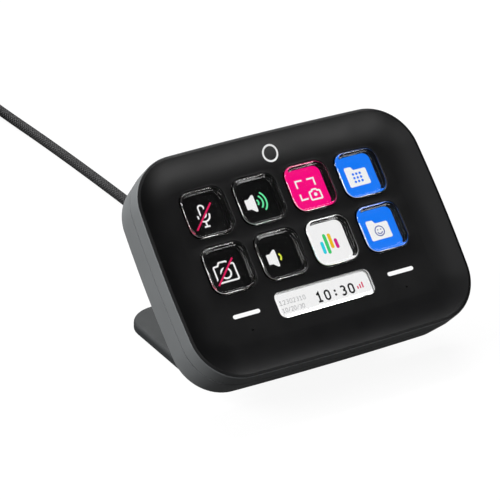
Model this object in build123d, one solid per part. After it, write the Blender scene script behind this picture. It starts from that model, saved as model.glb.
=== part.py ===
from build123d import *
import os
from math import acos, atan2, cos, degrees, hypot, pi, radians, sin, sqrt, tan

os.makedirs("parts", exist_ok=True)

# A tilted desk key panel: a shallow two-shell case with a dished black face, eight clear keys over
# one picture panel, a strip display, two touch bars, a fixed foot and a braided lead with a plug.
# World frame: +X right, +Y to the back, +Z up, origin under the middle of the part on the desk.
# The case is built in a face frame: x right, y up the face, z out of the face.

# ---- case outline and shells ----
SIDE_MARGIN = 14.125       # key guide to the case's side: the case is 107 wide
TOP_MARGIN = 11.175        # key guide to the case's top
BOTTOM_MARGIN = 20.805     # middle of the strip to the case's bottom: the case is 78 high
SIDE_BOW = 520.0           # radius of the slightly bowed left and right sides
TOP_BOW = 1800.0           # radius of the slightly bowed top and bottom
CORNER_RADIUS = 16.8
TILT = 45.0                # face against the desk
SEAM_DEPTH = 6.5           # face outline to the joint of the two shells
SEAM_BREAK = 0.16          # edge break on both shells that draws the joint line
WALL = 1.8
BACK_WALL = 1.8
BACK_TAPER = 1.0           # how far the rear shell draws in towards the back
BACK_ROUND = 1.6

# ---- dished face ----
LIP = 0.3                  # grey edge left outside the face
RIM_WIDTH = 0.85           # bright slope from the lip up to the crest
RIM_RISE = 0.4
RIM_EDGE = 0.08            # height of the face's edge over the lip
DISH_WIDTH = 12.35         # crest to the flat middle
DISH_DEPTH = 2.2
FACE_THICK = 1.4
LEDGE_DEPTH = 1.6
LEDGE_WIDTH = 2.6
FACE_SLOPE_WIDTH = 9.4     # underside slope from the ledge to the flat middle

# ---- keys ----
COLUMNS = 4
ROWS = 2
KEY_PITCH = 19.55
APERTURE = 16.8
APERTURE_RADIUS = 4.3
APERTURE_BREAK = 0.35
KEY_GAP = 0.4              # cap to aperture, all round
KEY_PROUD = 0.5            # cap top over the flat face
KEY_EDGE = 0.5
KEY_HOLLOW_RADIUS = 90.0
KEY_HOLLOW_DEPTH = 0.35
FLANGE_REACH = 0.8         # flange beyond the cap, all round
FLANGE_THICK = 0.65
FLANGE_GAP = 0.25          # flange to the face's underside
KEY_TRAVEL = 1.2
BUMP_THICK = 0.35          # rubber pusher ring under the flange
BUMP_INSET = 0.2
BUMP_WIDTH = 0.9
END_GAP = 0.2              # pusher to the rubber sheet at full travel
GUIDE_GAP = 0.3            # flange to the guide's wall
GUIDE_RIM = 0.95
WINDOW = 15.2              # clear view through the sheets behind each key
WINDOW_RADIUS = 2.8
SHEET_THICK = 0.3
CONTACT_THICK = 0.15
PANEL_THICK = 1.2
LIGHT_THICK = 2.0
PANEL_EDGE = 0.9           # picture panel inside the guide's outline
PANEL_RADIUS = 1.0

# ---- strip display and touch bars ----
STRIP_SPACE = 1.27         # key guide to the strip window's flange
STRIP_WIDTH = 36.3
STRIP_HEIGHT = 9.0
STRIP_RADIUS = 2.2
STRIP_GAP = 0.1
STRIP_FLANGE = 0.6
STRIP_FLANGE_THICK = 0.8
STRIP_MODULE_THICK = 2.0
STRIP_MODULE_EDGE = 1.2    # module beyond the window's sides
STRIP_MODULE_RADIUS = 0.8
BAR_X = 29.4
BAR_RISE = 0.3             # bars above the strip's middle
BAR_LENGTH = 10.0
BAR_WIDTH = 1.4
BAR_GAP = 0.05
BAR_FLANGE = 1.0
BAR_FLANGE_THICK = 0.8
LAMP_SIZE = 1.6
LAMP_HEIGHT = 0.7
DOT_RADIUS = 0.3
DOT_DEPTH = 0.15
DOT_DROP = 5.6             # sensing dot below each bar
TOUCH_BOARD_THICK = 1.0
TOUCH_BOARD_DROP = 1.75    # board's middle below the strip's
TOUCH_BOARD_HEIGHT = 11.0
TOUCH_BOARD_SIDE = 4.0     # board beyond the bars' ends
TOUCH_BOARD_RADIUS = 1.5

# ---- tray, board and fasteners ----
TRAY_THICK = 1.0
TRAY_RIM = 1.0
TRAY_GAP = 0.15
TRAY_RIM_HEIGHT = 2.4
TRAY_RADIUS = 2.0
TRAY_POST = 1.6            # radius of the posts under the touch board
BOARD_OVERHANG = 2.525     # main board beyond the picture panel's sides
BOARD_HEIGHT = 52.0
BOARD_RADIUS = 3.0
BOARD_THICK = 1.2
BOARD_STANDOFF = 1.0
STANDOFF_RADIUS = 2.6
BOARD_SCREW_SIDE = 5.0     # board screws inside the board's left and right edges
BOARD_SCREW_END = 4.5      # board screws inside the board's top and bottom edges
SCREW_BOARD = 1.0          # shank radii
SCREW_CASE = 1.25
SCREW_STAND = 1.5
BOARD_HEAD = 2.0
CASE_HEAD = 2.3
STAND_HEAD = 2.8
HEAD_HEIGHT = 1.3
DRIVE_RADIUS = 0.9         # hexagon recess in each head
DRIVE_DEPTH = 0.7
SCREW_CLEARANCE = 0.2
SCREW_TIP_GAP = 0.4        # case screws' tips to the end of their bores
STAND_TIP_GAP = 0.3        # stand screws' tips below the top of their bosses
BOSS_RADIUS = 3.0
BOSS_INSET = 5.8           # boss centre inside the outline, on the corner's diagonal
BOSS_TOP = 3.4             # below the outline plane
CASE_SCREW_REACH = 3.5     # thread held in the front boss
CASE_HEAD_SINK = 0.5
ARM_LENGTH = 12.0          # tray arm from each boss towards the middle
CHIP_HEIGHT = 1.3
SOCKET_DEPTH = 5.0         # lead socket along the board
BOARD_ROOM = 3.5           # main board to the back wall: the case is 18.4 deep
RIBBON_THICK = 0.2
RIBBON_WIDTH = 12.0
RIBBON_CLEAR = 0.675       # folded ribbons outside the boards and the tray
RIBBON_HOLD = 5.0          # ribbon lying on the main board
RIBBON_SPACE = 0.3

# ---- stand ----
FOOT_WIDTH = 82.6
FOOT_BACK = 50.5           # rear edge behind the middle of the face
FOOT_FRONT_SET = 9.5       # front edge behind the line where the case's back would meet the foot
FOOT_THICK = 3.0
FOOT_CORNER = 11.0
FOOT_FRONT_CORNER = 5.0
FOOT_EDGE = 1.2
FOOT_LIFT = 0.3            # plastic above the desk
SEAT_GAP = 0.15            # case's lower back edge over the foot
PAD_THICK = 0.8
PAD_INSET = 3.0
BALLAST_THICK = 1.2
BALLAST_INSET = 3.5        # inside the pad's outline
LEG_WIDTH = 52.0
LEG_THICK = 3.2
LEG_TOP = -6.0
LEG_CORNER = 6.0
LEG_TOP_ROUND = 1.0
LEG_FILLET = 3.0
LEG_UPRIGHT = 4.6          # thickness of the leg's upright foot
LEG_HEEL = 9.0
STAND_SCREW_X = 17.0
STAND_SCREW_DOWN = 4.5     # upper screws below the leg's top
STAND_SCREW_STEP = 7.0
STAND_BOSS_RADIUS = 3.6
STAND_BOSS_HEIGHT = 2.4
STAND_HEAD_SINK = 0.1

# ---- lead ----
CORD_RADIUS = 1.9
GLAND_SPACE = 10.0         # gland above the leg's top
GLAND_LENGTH = 12.0
GLAND_FLANGE = 4.8
GLAND_FLANGE_THICK = 1.1
GLAND_ROOT = 3.5
GLAND_TIP = 2.6
GLAND_COLLAR = 4.4
GLAND_COLLAR_THICK = 1.2
GLAND_FIT = 0.1
COIL_RADIUS = 22.8         # middle of the turns
COIL_TURNS = 8.25
COIL_LAYERS = 4
FLOOR_CLEAR = 0.05         # lead over the desk
PLUG_HEADING = 285.0       # degrees from +X, seen from above
TAIL_RUN = 9.0             # last straight of the lead, in line with the plug
PLUG_OFFSET = 20.0         # plug's root left of the coil's middle
PLUG_SETBACK = 14.4        # plug's root in front of the coil's rear edge
PLUG_RELIEF = 9.0
RELIEF_TIP_WALL = 0.285    # strain relief around the lead, at its thin end
RELIEF_ROOT_WALL = 1.14    # and at the overmould
PLUG_LENGTH = 22.0
PLUG_WIDTH = 15.6
PLUG_HEIGHT = 7.8
PLUG_EDGE = 1.6
SHELL_LENGTH = 12.5
SHELL_WIDTH = 12.0
SHELL_HEIGHT = 4.5
SHELL_WALL = 0.32
SHELL_CORNER = 0.5
SHELL_HOLE = 2.2           # square latch holes
SHELL_HOLE_SIDE = 2.52     # holes from the shell's middle
SHELL_HOLE_BACK = 6.0      # holes behind the shell's mouth
TONGUE_HEIGHT = 1.9
SHELL_ROOT = 3.0           # shell held inside the overmould
TONGUE_SET = 0.4           # tongue behind the shell's mouth

# ---- worked-out places ----
lean_cos = cos(radians(TILT))
lean_sin = sin(radians(TILT))
crest_u = LIP + RIM_WIDTH
flat_u = crest_u + DISH_WIDTH
face_z = -DISH_DEPTH
face_under = face_z - FACE_THICK

key_size = APERTURE - 2 * KEY_GAP
key_top = face_z + KEY_PROUD
flange_top = face_under - FLANGE_GAP
flange_low = flange_top - FLANGE_THICK
flange_size = key_size + 2 * FLANGE_REACH
bump_low = flange_low - BUMP_THICK
sheet_top = bump_low - KEY_TRAVEL - END_GAP
contact_top = sheet_top - SHEET_THICK
panel_top = contact_top - CONTACT_THICK
light_top = panel_top - PANEL_THICK
tray_top = light_top - LIGHT_THICK
tray_low = tray_top - TRAY_THICK
board_top = tray_low - BOARD_STANDOFF
board_low = board_top - BOARD_THICK
inner_back = board_low - BOARD_ROOM
back_z = inner_back - BACK_WALL

guide_hole = flange_size + 2 * GUIDE_GAP
guide_w = (COLUMNS - 1) * KEY_PITCH + guide_hole + 2 * GUIDE_RIM
guide_h = (ROWS - 1) * KEY_PITCH + guide_hole + 2 * GUIDE_RIM
panel_w = guide_w - 2 * PANEL_EDGE
panel_h = guide_h - 2 * PANEL_EDGE
board_w = panel_w + 2 * BOARD_OVERHANG
half_w = guide_w / 2 + SIDE_MARGIN
strip_drop = STRIP_SPACE + STRIP_FLANGE + STRIP_HEIGHT / 2
half_h = (TOP_MARGIN + guide_h + strip_drop + BOTTOM_MARGIN) / 2
grid_y = half_h - TOP_MARGIN - guide_h / 2
strip_y = grid_y - guide_h / 2 - strip_drop
bar_y = strip_y + BAR_RISE

strip_flange_low = face_under - STRIP_FLANGE_THICK
touch_board_top = strip_flange_low - STRIP_MODULE_THICK
touch_board_low = touch_board_top - TOUCH_BOARD_THICK
touch_board_w = 2 * (BAR_X + BAR_LENGTH / 2 + TOUCH_BOARD_SIDE)
touch_board_y = strip_y - TOUCH_BOARD_DROP
touch_post_x = touch_board_w / 2 - TRAY_POST - 1
tray_high_y = grid_y + panel_h / 2 + TRAY_GAP + TRAY_RIM
tray_low_y = touch_board_y - TOUCH_BOARD_HEIGHT / 2
ribbon_y = max(BOARD_HEIGHT / 2, tray_high_y, -tray_low_y) + RIBBON_CLEAR
gland_y = LEG_TOP + GLAND_SPACE

key_places = [((i - (COLUMNS - 1) / 2) * KEY_PITCH, grid_y + ((ROWS - 1) / 2 - j) * KEY_PITCH)
              for j in range(ROWS) for i in range(COLUMNS)]


def corner_centre():
    """Centre of the corner arc that touches the bowed side and the bowed top inside."""
    side_x, top_y = half_w - SIDE_BOW, half_h - TOP_BOW
    reach_side, reach_top = SIDE_BOW - CORNER_RADIUS, TOP_BOW - CORNER_RADIUS
    between = hypot(side_x, top_y)
    along = (reach_side ** 2 - reach_top ** 2 + between ** 2) / (2 * between)
    across = sqrt(reach_side ** 2 - along ** 2)
    ux, uy = -side_x / between, top_y / between
    return side_x + along * ux - across * uy, along * uy + across * ux


def outline_arcs():
    """The outline's eight arcs, anticlockwise: centre, radius, start angle and sweep."""
    cx, cy = corner_centre()
    side_x, top_y = half_w - SIDE_BOW, half_h - TOP_BOW
    low = degrees(atan2(cy, cx - side_x))
    high = degrees(atan2(cy - top_y, cx))
    return [((side_x, 0), SIDE_BOW, -low, 2 * low),
            ((cx, cy), CORNER_RADIUS, low, high - low),
            ((0, top_y), TOP_BOW, high, 180 - 2 * high),
            ((-cx, cy), CORNER_RADIUS, 180 - high, high - low),
            ((-side_x, 0), SIDE_BOW, 180 - low, 2 * low),
            ((-cx, -cy), CORNER_RADIUS, 180 + low, high - low),
            ((0, -top_y), TOP_BOW, 180 + high, 180 - 2 * high),
            ((cx, -cy), CORNER_RADIUS, 360 - high, high - low)]


def outline(inset):
    """The case outline, drawn in by inset all round."""
    return Face(Wire([CenterArc(centre, radius - inset, start, sweep)
                      for centre, radius, start, sweep in outline_arcs()]))


def slab(shape, low, high):
    """A flat shape carried from one height to another."""
    return Pos(0, 0, low) * extrude(shape, amount=high - low, dir=(0, 0, 1))


def band(section):
    """A closed ring that follows the outline.

    section draws the ring's cross-section in (distance from the outline's centre side, z) and is
    called with the arc's radius; each arc of the outline turns it about its own centre.
    """
    ring = []
    for (x, y), radius, start, sweep in outline_arcs():
        a = radians(start)
        plane = Plane(origin=(x, y, 0), x_dir=(cos(a), sin(a), 0), z_dir=(sin(a), -cos(a), 0))
        ring.append(revolve(plane * section(radius), Axis((x, y, 0), (0, 0, 1)), sweep))
    return Part() + ring


def polygon(points, rounds=()):
    """A flat face through the points, with rounds at some corners given as (corner, radius)."""
    face = Face(Wire(Polyline(*points, close=True)))
    for place, radius in rounds:
        corner = face.vertices().sort_by_distance((*points[place], 0))[0]
        face = face.fillet_2d(radius, [corner])
    return face


def rounded(width, height, radius, low, high, x=0, y=0):
    """A plate with rounded corners."""
    return Pos(x, y, 0) * slab(RectangleRounded(width, height, radius), low, high)


def post(radius, low, high, x=0, y=0):
    """A round post or, when it is taken away, a round hole."""
    return Pos(x, y, 0) * slab(Circle(radius), low, high)


def mirrored_places(x, y):
    """Four places, one in each quarter."""
    return [(x, y), (-x, y), (-x, -y), (x, -y)]


def boss_places():
    """Case screws on the diagonals of the corner arcs."""
    cx, cy = corner_centre()
    reach = (CORNER_RADIUS - BOSS_INSET) * cos(radians(45))
    return mirrored_places(cx + reach, cy + reach)


def diagonal_arm(x, y, length, low, high):
    """A bar as wide as a boss, from a boss towards the middle or, if length is negative, outwards."""
    angle = degrees(atan2(-y / abs(y), -x / abs(x)))
    bar = Pos(length / 2, 0) * Rectangle(abs(length), 2 * BOSS_RADIUS)
    return Pos(x, y, 0) * Rot(0, 0, angle) * slab(bar, low, high)


def panel_location():
    """Where the face frame stands in the world frame."""
    return Location(Plane(origin=(0, face_origin_y, face_origin_z), x_dir=(1, 0, 0),
                          z_dir=(0, -lean_sin, lean_cos)))


def lowest_edge():
    """Height of the rear shell's rounded lower edge against the face's middle."""
    depth = -back_z - SEAM_DEPTH
    lean = atan2(BACK_TAPER, depth)
    u = BACK_TAPER * (depth - BACK_ROUND) / depth + BACK_ROUND / cos(lean)
    return lean_sin * (-half_h + u) + lean_cos * (back_z + BACK_ROUND) - BACK_ROUND


foot_top = FOOT_LIFT + FOOT_THICK
face_origin_y = (half_h * lean_cos - FOOT_BACK) / 2
face_origin_z = foot_top + SEAT_GAP - lowest_edge()
foot_back_y = face_origin_y + FOOT_BACK


def back_line_y(depth):
    """World Y where a plane parallel to the face, at this depth, meets the foot's top."""
    return face_origin_y + (foot_top - face_origin_z) * lean_cos / lean_sin - depth / lean_sin


foot_front_y = back_line_y(back_z) + FOOT_FRONT_SET


def world_yz(y, z):
    """A point of the face frame's middle plane, in world Y and Z."""
    return face_origin_y + y * lean_cos - z * lean_sin, face_origin_z + y * lean_sin + z * lean_cos


# ---- the case ----
def make_faceplate():
    """Dished face: rim, hollow slope and flat middle with its cut-outs."""
    bow = (DISH_WIDTH ** 2 + (DISH_DEPTH + RIM_RISE) ** 2) / (2 * (DISH_DEPTH + RIM_RISE))
    half_turn = acos(1 - (DISH_DEPTH + RIM_RISE) / bow) / 2
    mid = (flat_u - bow * sin(half_turn), face_z + bow * (1 - cos(half_turn)))
    slope_u = LEDGE_WIDTH + FACE_SLOPE_WIDTH

    def section(radius):
        edge = [Line((radius - LIP, -LEDGE_DEPTH), (radius - LIP, RIM_EDGE)),
                Line((radius - LIP, RIM_EDGE), (radius - crest_u, RIM_RISE)),
                ThreePointArc((radius - crest_u, RIM_RISE), (radius - mid[0], mid[1]),
                              (radius - flat_u, face_z)),
                Line((radius - flat_u, face_z), (radius - flat_u, face_under)),
                Line((radius - flat_u, face_under), (radius - slope_u, face_under)),
                Line((radius - slope_u, face_under), (radius - LEDGE_WIDTH, -LEDGE_DEPTH)),
                Line((radius - LEDGE_WIDTH, -LEDGE_DEPTH), (radius - LIP, -LEDGE_DEPTH))]
        return Face(Wire(edge))

    face = band(section) + slab(outline(flat_u), face_under, face_z)
    cuts = []
    for x, y in key_places:
        cuts.append(rounded(APERTURE, APERTURE, APERTURE_RADIUS, face_under - 1, face_z + 1, x, y))
    cuts.append(rounded(STRIP_WIDTH, STRIP_HEIGHT, STRIP_RADIUS, face_under - 1, face_z + 1, 0, strip_y))
    for side in (-1, 1):
        cuts.append(Pos(side * BAR_X, bar_y, 0)
                    * slab(SlotOverall(BAR_LENGTH, BAR_WIDTH), face_under - 1, face_z + 1))
        cuts.append(post(DOT_RADIUS, face_z - DOT_DEPTH, face_z + 1, side * BAR_X, bar_y - DOT_DROP))
    face = face - cuts
    brim = [e for e in face.edges() if abs(e.center().Z - face_z) < 1e-4
            and any(abs(e.center().X - x) < APERTURE * 0.6 and abs(e.center().Y - y) < APERTURE * 0.6
                    for x, y in key_places)]
    return chamfer(brim, APERTURE_BREAK)


def make_front_housing():
    """Grey front ring: lip, ledge for the face, wall and the four screw bosses."""
    def section(radius):
        return polygon([(radius - SEAM_BREAK, -SEAM_DEPTH), (radius, -SEAM_DEPTH + SEAM_BREAK),
                        (radius, 0), (radius - LIP, 0), (radius - LIP, -LEDGE_DEPTH),
                        (radius - LEDGE_WIDTH, -LEDGE_DEPTH), (radius - LEDGE_WIDTH, -LEDGE_DEPTH - WALL),
                        (radius - WALL, -LEDGE_DEPTH - WALL), (radius - WALL, -SEAM_DEPTH)])

    ring = band(section)
    ring += [post(BOSS_RADIUS, tray_top, -BOSS_TOP, x, y) for x, y in boss_places()]
    inside = slab(outline(WALL / 2), -SEAM_DEPTH, 0)
    ring += [diagonal_arm(x, y, -BOSS_INSET, -SEAM_DEPTH, -BOSS_TOP) & inside for x, y in boss_places()]
    thread = [post(SCREW_CASE, tray_top - 1, tray_top + CASE_SCREW_REACH, x, y) for x, y in boss_places()]
    return ring - thread


def make_rear_housing():
    """Grey rear shell: drawn-in wall, rounded back edge, flat back, tubes for the case screws and
    bosses for the stand."""
    lean = BACK_TAPER / (-back_z - SEAM_DEPTH)
    flat = BACK_TAPER + BACK_ROUND + BOSS_INSET

    def section(radius):
        inner = WALL + lean * (inner_back + SEAM_DEPTH) * -1
        return polygon([(radius - SEAM_BREAK, -SEAM_DEPTH), (radius - WALL, -SEAM_DEPTH),
                        (radius - inner, inner_back), (radius - flat, inner_back),
                        (radius - flat, back_z), (radius - BACK_TAPER, back_z),
                        (radius, -SEAM_DEPTH - SEAM_BREAK)], [(5, BACK_ROUND)])

    shell = band(section) + slab(outline(flat - WALL / 2), back_z, inner_back)
    shell += [post(BOSS_RADIUS, inner_back, tray_low, x, y) for x, y in boss_places()]
    shell += [post(STAND_BOSS_RADIUS, inner_back, inner_back + STAND_BOSS_HEIGHT, x, y)
              for x, y in stand_screw_places()]
    head_floor = back_z + CASE_HEAD_SINK + HEAD_HEIGHT
    cuts = []
    for x, y in boss_places():
        cuts.append(post(SCREW_CASE + SCREW_CLEARANCE, back_z - 1, tray_low + 1, x, y))
        cuts.append(post(CASE_HEAD + SCREW_CLEARANCE, back_z - 1, head_floor, x, y))
    for x, y in stand_screw_places():
        cuts.append(post(SCREW_STAND, back_z - 1, inner_back + STAND_BOSS_HEIGHT + 1, x, y))
    cuts.append(post(GLAND_ROOT + GLAND_FIT, back_z - 1, inner_back + 1, 0, gland_y))
    return shell - cuts


# ---- the keys ----
def make_key_cap(x, y):
    """Clear key: rounded block with a shallow hollow top, and the flange that keeps it in."""
    radius = APERTURE_RADIUS - KEY_GAP
    block = rounded(key_size, key_size, radius, flange_low, key_top)
    block = fillet(block.edges().group_by(Axis.Z)[-1], KEY_EDGE)
    hollow = Pos(0, 0, key_top + KEY_HOLLOW_RADIUS - KEY_HOLLOW_DEPTH) * Sphere(KEY_HOLLOW_RADIUS)
    flange = rounded(flange_size, flange_size, radius + FLANGE_REACH, flange_low, flange_top)
    return Pos(x, y, 0) * (block - hollow + flange)


def make_key_pusher(x, y):
    """Rubber ring under the flange that presses the sheet."""
    size = flange_size - 2 * BUMP_INSET
    radius = APERTURE_RADIUS - KEY_GAP + FLANGE_REACH - BUMP_INSET
    outer = rounded(size, size, radius, bump_low, flange_low)
    hole = size - 2 * BUMP_WIDTH
    return Pos(x, y, 0) * (outer - rounded(hole, hole, radius - BUMP_WIDTH, bump_low - 1, flange_low + 1))


def windows(size, radius, low, high):
    """One hole behind each key."""
    return [rounded(size, size, radius, low - 1, high + 1, x, y) for x, y in key_places]


def make_key_guide():
    """Black lattice between the face and the rubber sheet that walls each key."""
    radius = APERTURE_RADIUS - KEY_GAP + FLANGE_REACH + GUIDE_GAP
    frame = rounded(guide_w, guide_h, radius + GUIDE_RIM, sheet_top, face_under, 0, grid_y)
    return frame - windows(guide_hole, radius, sheet_top, face_under)


def make_key_sheet():
    """Silicone sheet under the keys."""
    sheet = rounded(guide_w, guide_h, WINDOW_RADIUS, contact_top, sheet_top, 0, grid_y)
    return sheet - windows(WINDOW, WINDOW_RADIUS, contact_top, sheet_top)


def make_contact_sheet():
    """Printed contact film under the silicone."""
    film = rounded(guide_w, guide_h, WINDOW_RADIUS, panel_top, contact_top, 0, grid_y)
    return film - windows(WINDOW, WINDOW_RADIUS, panel_top, contact_top)


def make_lcd_panel():
    """One glass picture panel behind all the keys."""
    return rounded(panel_w, panel_h, PANEL_RADIUS, light_top, panel_top, 0, grid_y)


def make_lcd_backlight():
    """Light guide and its frame behind the picture panel."""
    return rounded(panel_w, panel_h, PANEL_RADIUS, tray_top, light_top, 0, grid_y)


# ---- strip display and touch bars ----
def make_strip_window():
    """Clear window flush with the face, bonded by its flange."""
    body = rounded(STRIP_WIDTH - 2 * STRIP_GAP, STRIP_HEIGHT - 2 * STRIP_GAP, STRIP_RADIUS - STRIP_GAP,
                   strip_flange_low, face_z, 0, strip_y)
    flange = rounded(STRIP_WIDTH + 2 * STRIP_FLANGE, STRIP_HEIGHT + 2 * STRIP_FLANGE,
                     STRIP_RADIUS + STRIP_FLANGE, strip_flange_low, face_under, 0, strip_y)
    return body + flange


def make_strip_display():
    """Small white display module behind the window."""
    return rounded(STRIP_WIDTH + 2 * STRIP_MODULE_EDGE, STRIP_HEIGHT, STRIP_MODULE_RADIUS,
                   touch_board_top, strip_flange_low, 0, strip_y)


def make_touch_bar(side):
    """White light bar flush in its slot, with a flange behind the face."""
    bar = slab(SlotOverall(BAR_LENGTH - 2 * BAR_GAP, BAR_WIDTH - 2 * BAR_GAP),
               touch_board_top + LAMP_HEIGHT, face_z)
    flange = slab(SlotOverall(BAR_LENGTH + 2 * BAR_FLANGE, BAR_WIDTH + 2 * BAR_FLANGE),
                  face_under - BAR_FLANGE_THICK, face_under)
    return Pos(side * BAR_X, bar_y, 0) * (bar + flange)


def make_touch_lamps():
    """Two small lamps under each bar."""
    return [Pos(side * BAR_X + step * BAR_LENGTH / 4, bar_y, touch_board_top + LAMP_HEIGHT / 2)
            * Box(LAMP_SIZE, BAR_WIDTH - 2 * BAR_GAP, LAMP_HEIGHT)
            for side in (-1, 1) for step in (-1, 1)]


def make_touch_board():
    """Board that carries the strip display, the lamps and the touch electrodes."""
    return rounded(touch_board_w, TOUCH_BOARD_HEIGHT, TOUCH_BOARD_RADIUS, touch_board_low,
                   touch_board_top, 0, touch_board_y)


# ---- tray and board ----
def make_tray():
    """Moulded tray that holds the panel and both boards, clamped between the shells."""
    wide = panel_w + 2 * (TRAY_GAP + TRAY_RIM)
    tall = panel_h + 2 * (TRAY_GAP + TRAY_RIM)
    rim_top = tray_top + TRAY_RIM_HEIGHT
    tray = rounded(wide, tray_high_y - tray_low_y, TRAY_RADIUS, tray_low, tray_top,
                   0, (tray_low_y + tray_high_y) / 2)
    rim = rounded(wide, tall, TRAY_RADIUS, tray_top, rim_top, 0, grid_y)
    rim -= rounded(panel_w + 2 * TRAY_GAP, panel_h + 2 * TRAY_GAP, PANEL_RADIUS, tray_top - 1,
                   rim_top + 1, 0, grid_y)
    notch_low = ribbon_top() - RIBBON_THICK - RIBBON_SPACE
    rim -= Pos(0, tray_high_y, 0) * slab(Rectangle(RIBBON_WIDTH + 2 * RIBBON_SPACE, 4 * TRAY_RIM),
                                    notch_low, rim_top + 1)
    tray += rim
    for x, y in boss_places():
        tray += post(BOSS_RADIUS, tray_low, tray_top, x, y)
        tray += diagonal_arm(x, y, ARM_LENGTH, tray_low, tray_top)
    tray += [post(TRAY_POST, tray_top, touch_board_low, side * touch_post_x, touch_board_y)
             for side in (-1, 1)]
    tray += [post(STANDOFF_RADIUS, board_top, tray_low, x, y) for x, y in board_screw_places()]
    cuts = [post(SCREW_CASE + SCREW_CLEARANCE, tray_low - 1, tray_top + 1, x, y) for x, y in boss_places()]
    cuts += [post(SCREW_BOARD, board_top - 1, tray_low + TRAY_THICK / 2, x, y)
             for x, y in board_screw_places()]
    return tray - cuts


def board_screw_places():
    """Board screws, one near each corner of the main board."""
    return mirrored_places(board_w / 2 - BOARD_SCREW_SIDE, BOARD_HEIGHT / 2 - BOARD_SCREW_END)


def make_main_board():
    """Main circuit board."""
    board = rounded(board_w, BOARD_HEIGHT, BOARD_RADIUS, board_low, board_top)
    return board - [post(SCREW_BOARD + SCREW_CLEARANCE, board_low - 1, board_top + 1, x, y)
                    for x, y in board_screw_places()]


CHIPS = [(10, 10, -24, 2), (7, 7, 24, 6), (5, 4, 10, 18), (5, 4, -10, 18), (3, 3, 30, -8), (8, 3, 0, -12)]


def make_board_chips():
    """Processor, memory and power parts, soldered to the back of the main board."""
    return [Pos(x, y, board_low - CHIP_HEIGHT / 2) * Box(w, h, CHIP_HEIGHT) for w, h, x, y in CHIPS]


def make_lead_socket():
    """Socket on the board that the lead's inner end plugs into."""
    low = inner_back + GLAND_COLLAR_THICK
    return Pos(0, gland_y, (low + board_low) / 2) * Box(2 * GLAND_COLLAR, SOCKET_DEPTH, board_low - low)


def ribbon_top():
    """Height where the picture panel's ribbon leaves its edge."""
    return light_top + PANEL_THICK / 2


def make_ribbon(edge_y, top, side):
    """Flat flexible ribbon from a module's edge, folded round on to the back of the main board."""
    out = side * ribbon_y
    held = side * (BOARD_HEIGHT / 2 - RIBBON_HOLD)
    thick = side * RIBBON_THICK
    section = polygon([(edge_y, top), (out + thick, top), (out + thick, board_low - RIBBON_THICK),
                       (held, board_low - RIBBON_THICK), (held, board_low), (out, board_low),
                       (out, top - RIBBON_THICK), (edge_y, top - RIBBON_THICK)])
    return Pos(-RIBBON_WIDTH / 2, 0, 0) * extrude(Plane.YZ * section, amount=RIBBON_WIDTH, dir=(1, 0, 0))


def make_lcd_ribbon():
    """Ribbon of the picture panel, over the top edge."""
    return make_ribbon(grid_y + panel_h / 2, ribbon_top(), 1)


def make_touch_ribbon():
    """Ribbon of the touch board, round the bottom edge."""
    return make_ribbon(tray_low_y, touch_board_top, -1)


# ---- fasteners ----
def screw(head_radius, shank_radius, seat, reach, x, y):
    """Screw put in from the back: head behind the seat, shank towards the face, hexagon recess."""
    body = post(head_radius, seat - HEAD_HEIGHT, seat, x, y) + post(shank_radius, seat, reach, x, y)
    recess = Pos(x, y, 0) * slab(RegularPolygon(DRIVE_RADIUS, 6), seat - HEAD_HEIGHT - 1,
                                 seat - HEAD_HEIGHT + DRIVE_DEPTH)
    return body - recess


def make_case_screws():
    """Four screws that clamp the shells and the tray."""
    seat = back_z + CASE_HEAD_SINK + HEAD_HEIGHT
    return [screw(CASE_HEAD, SCREW_CASE, seat, tray_top + CASE_SCREW_REACH - SCREW_TIP_GAP, x, y)
            for x, y in boss_places()]


def make_board_screws():
    """Four screws that hold the main board to the tray."""
    return [screw(BOARD_HEAD, SCREW_BOARD, board_low, tray_low + TRAY_THICK / 4, x, y)
            for x, y in board_screw_places()]


def stand_screw_places():
    """Stand screws, two high and two low on the leg."""
    high = LEG_TOP - STAND_SCREW_DOWN
    return [(side * STAND_SCREW_X, y) for side in (-1, 1) for y in (high, high - STAND_SCREW_STEP)]


def make_stand_screws():
    """Four screws through the leg into the rear shell."""
    seat = back_z - LEG_THICK + HEAD_HEIGHT + STAND_HEAD_SINK
    return [screw(STAND_HEAD, SCREW_STAND, seat, inner_back + STAND_BOSS_HEIGHT - STAND_TIP_GAP, x, y)
            for x, y in stand_screw_places()]


# ---- stand, in the world frame ----
def foot_plan(inset, low, high):
    """The foot's plan shape, drawn in by inset."""
    depth = foot_back_y - foot_front_y - 2 * inset
    middle = (foot_back_y + foot_front_y) / 2
    plate = Pos(0, middle, 0) * slab(Rectangle(FOOT_WIDTH - 2 * inset, depth), low, high)
    upright = plate.edges().filter_by(Axis.Z)
    back = upright.group_by(Axis.Y)[-1]
    plate = fillet(back, FOOT_CORNER - inset)
    front = plate.edges().filter_by(Axis.Z).group_by(Axis.Y)[0]
    return fillet(front, max(FOOT_FRONT_CORNER - inset, 0.5))


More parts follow.
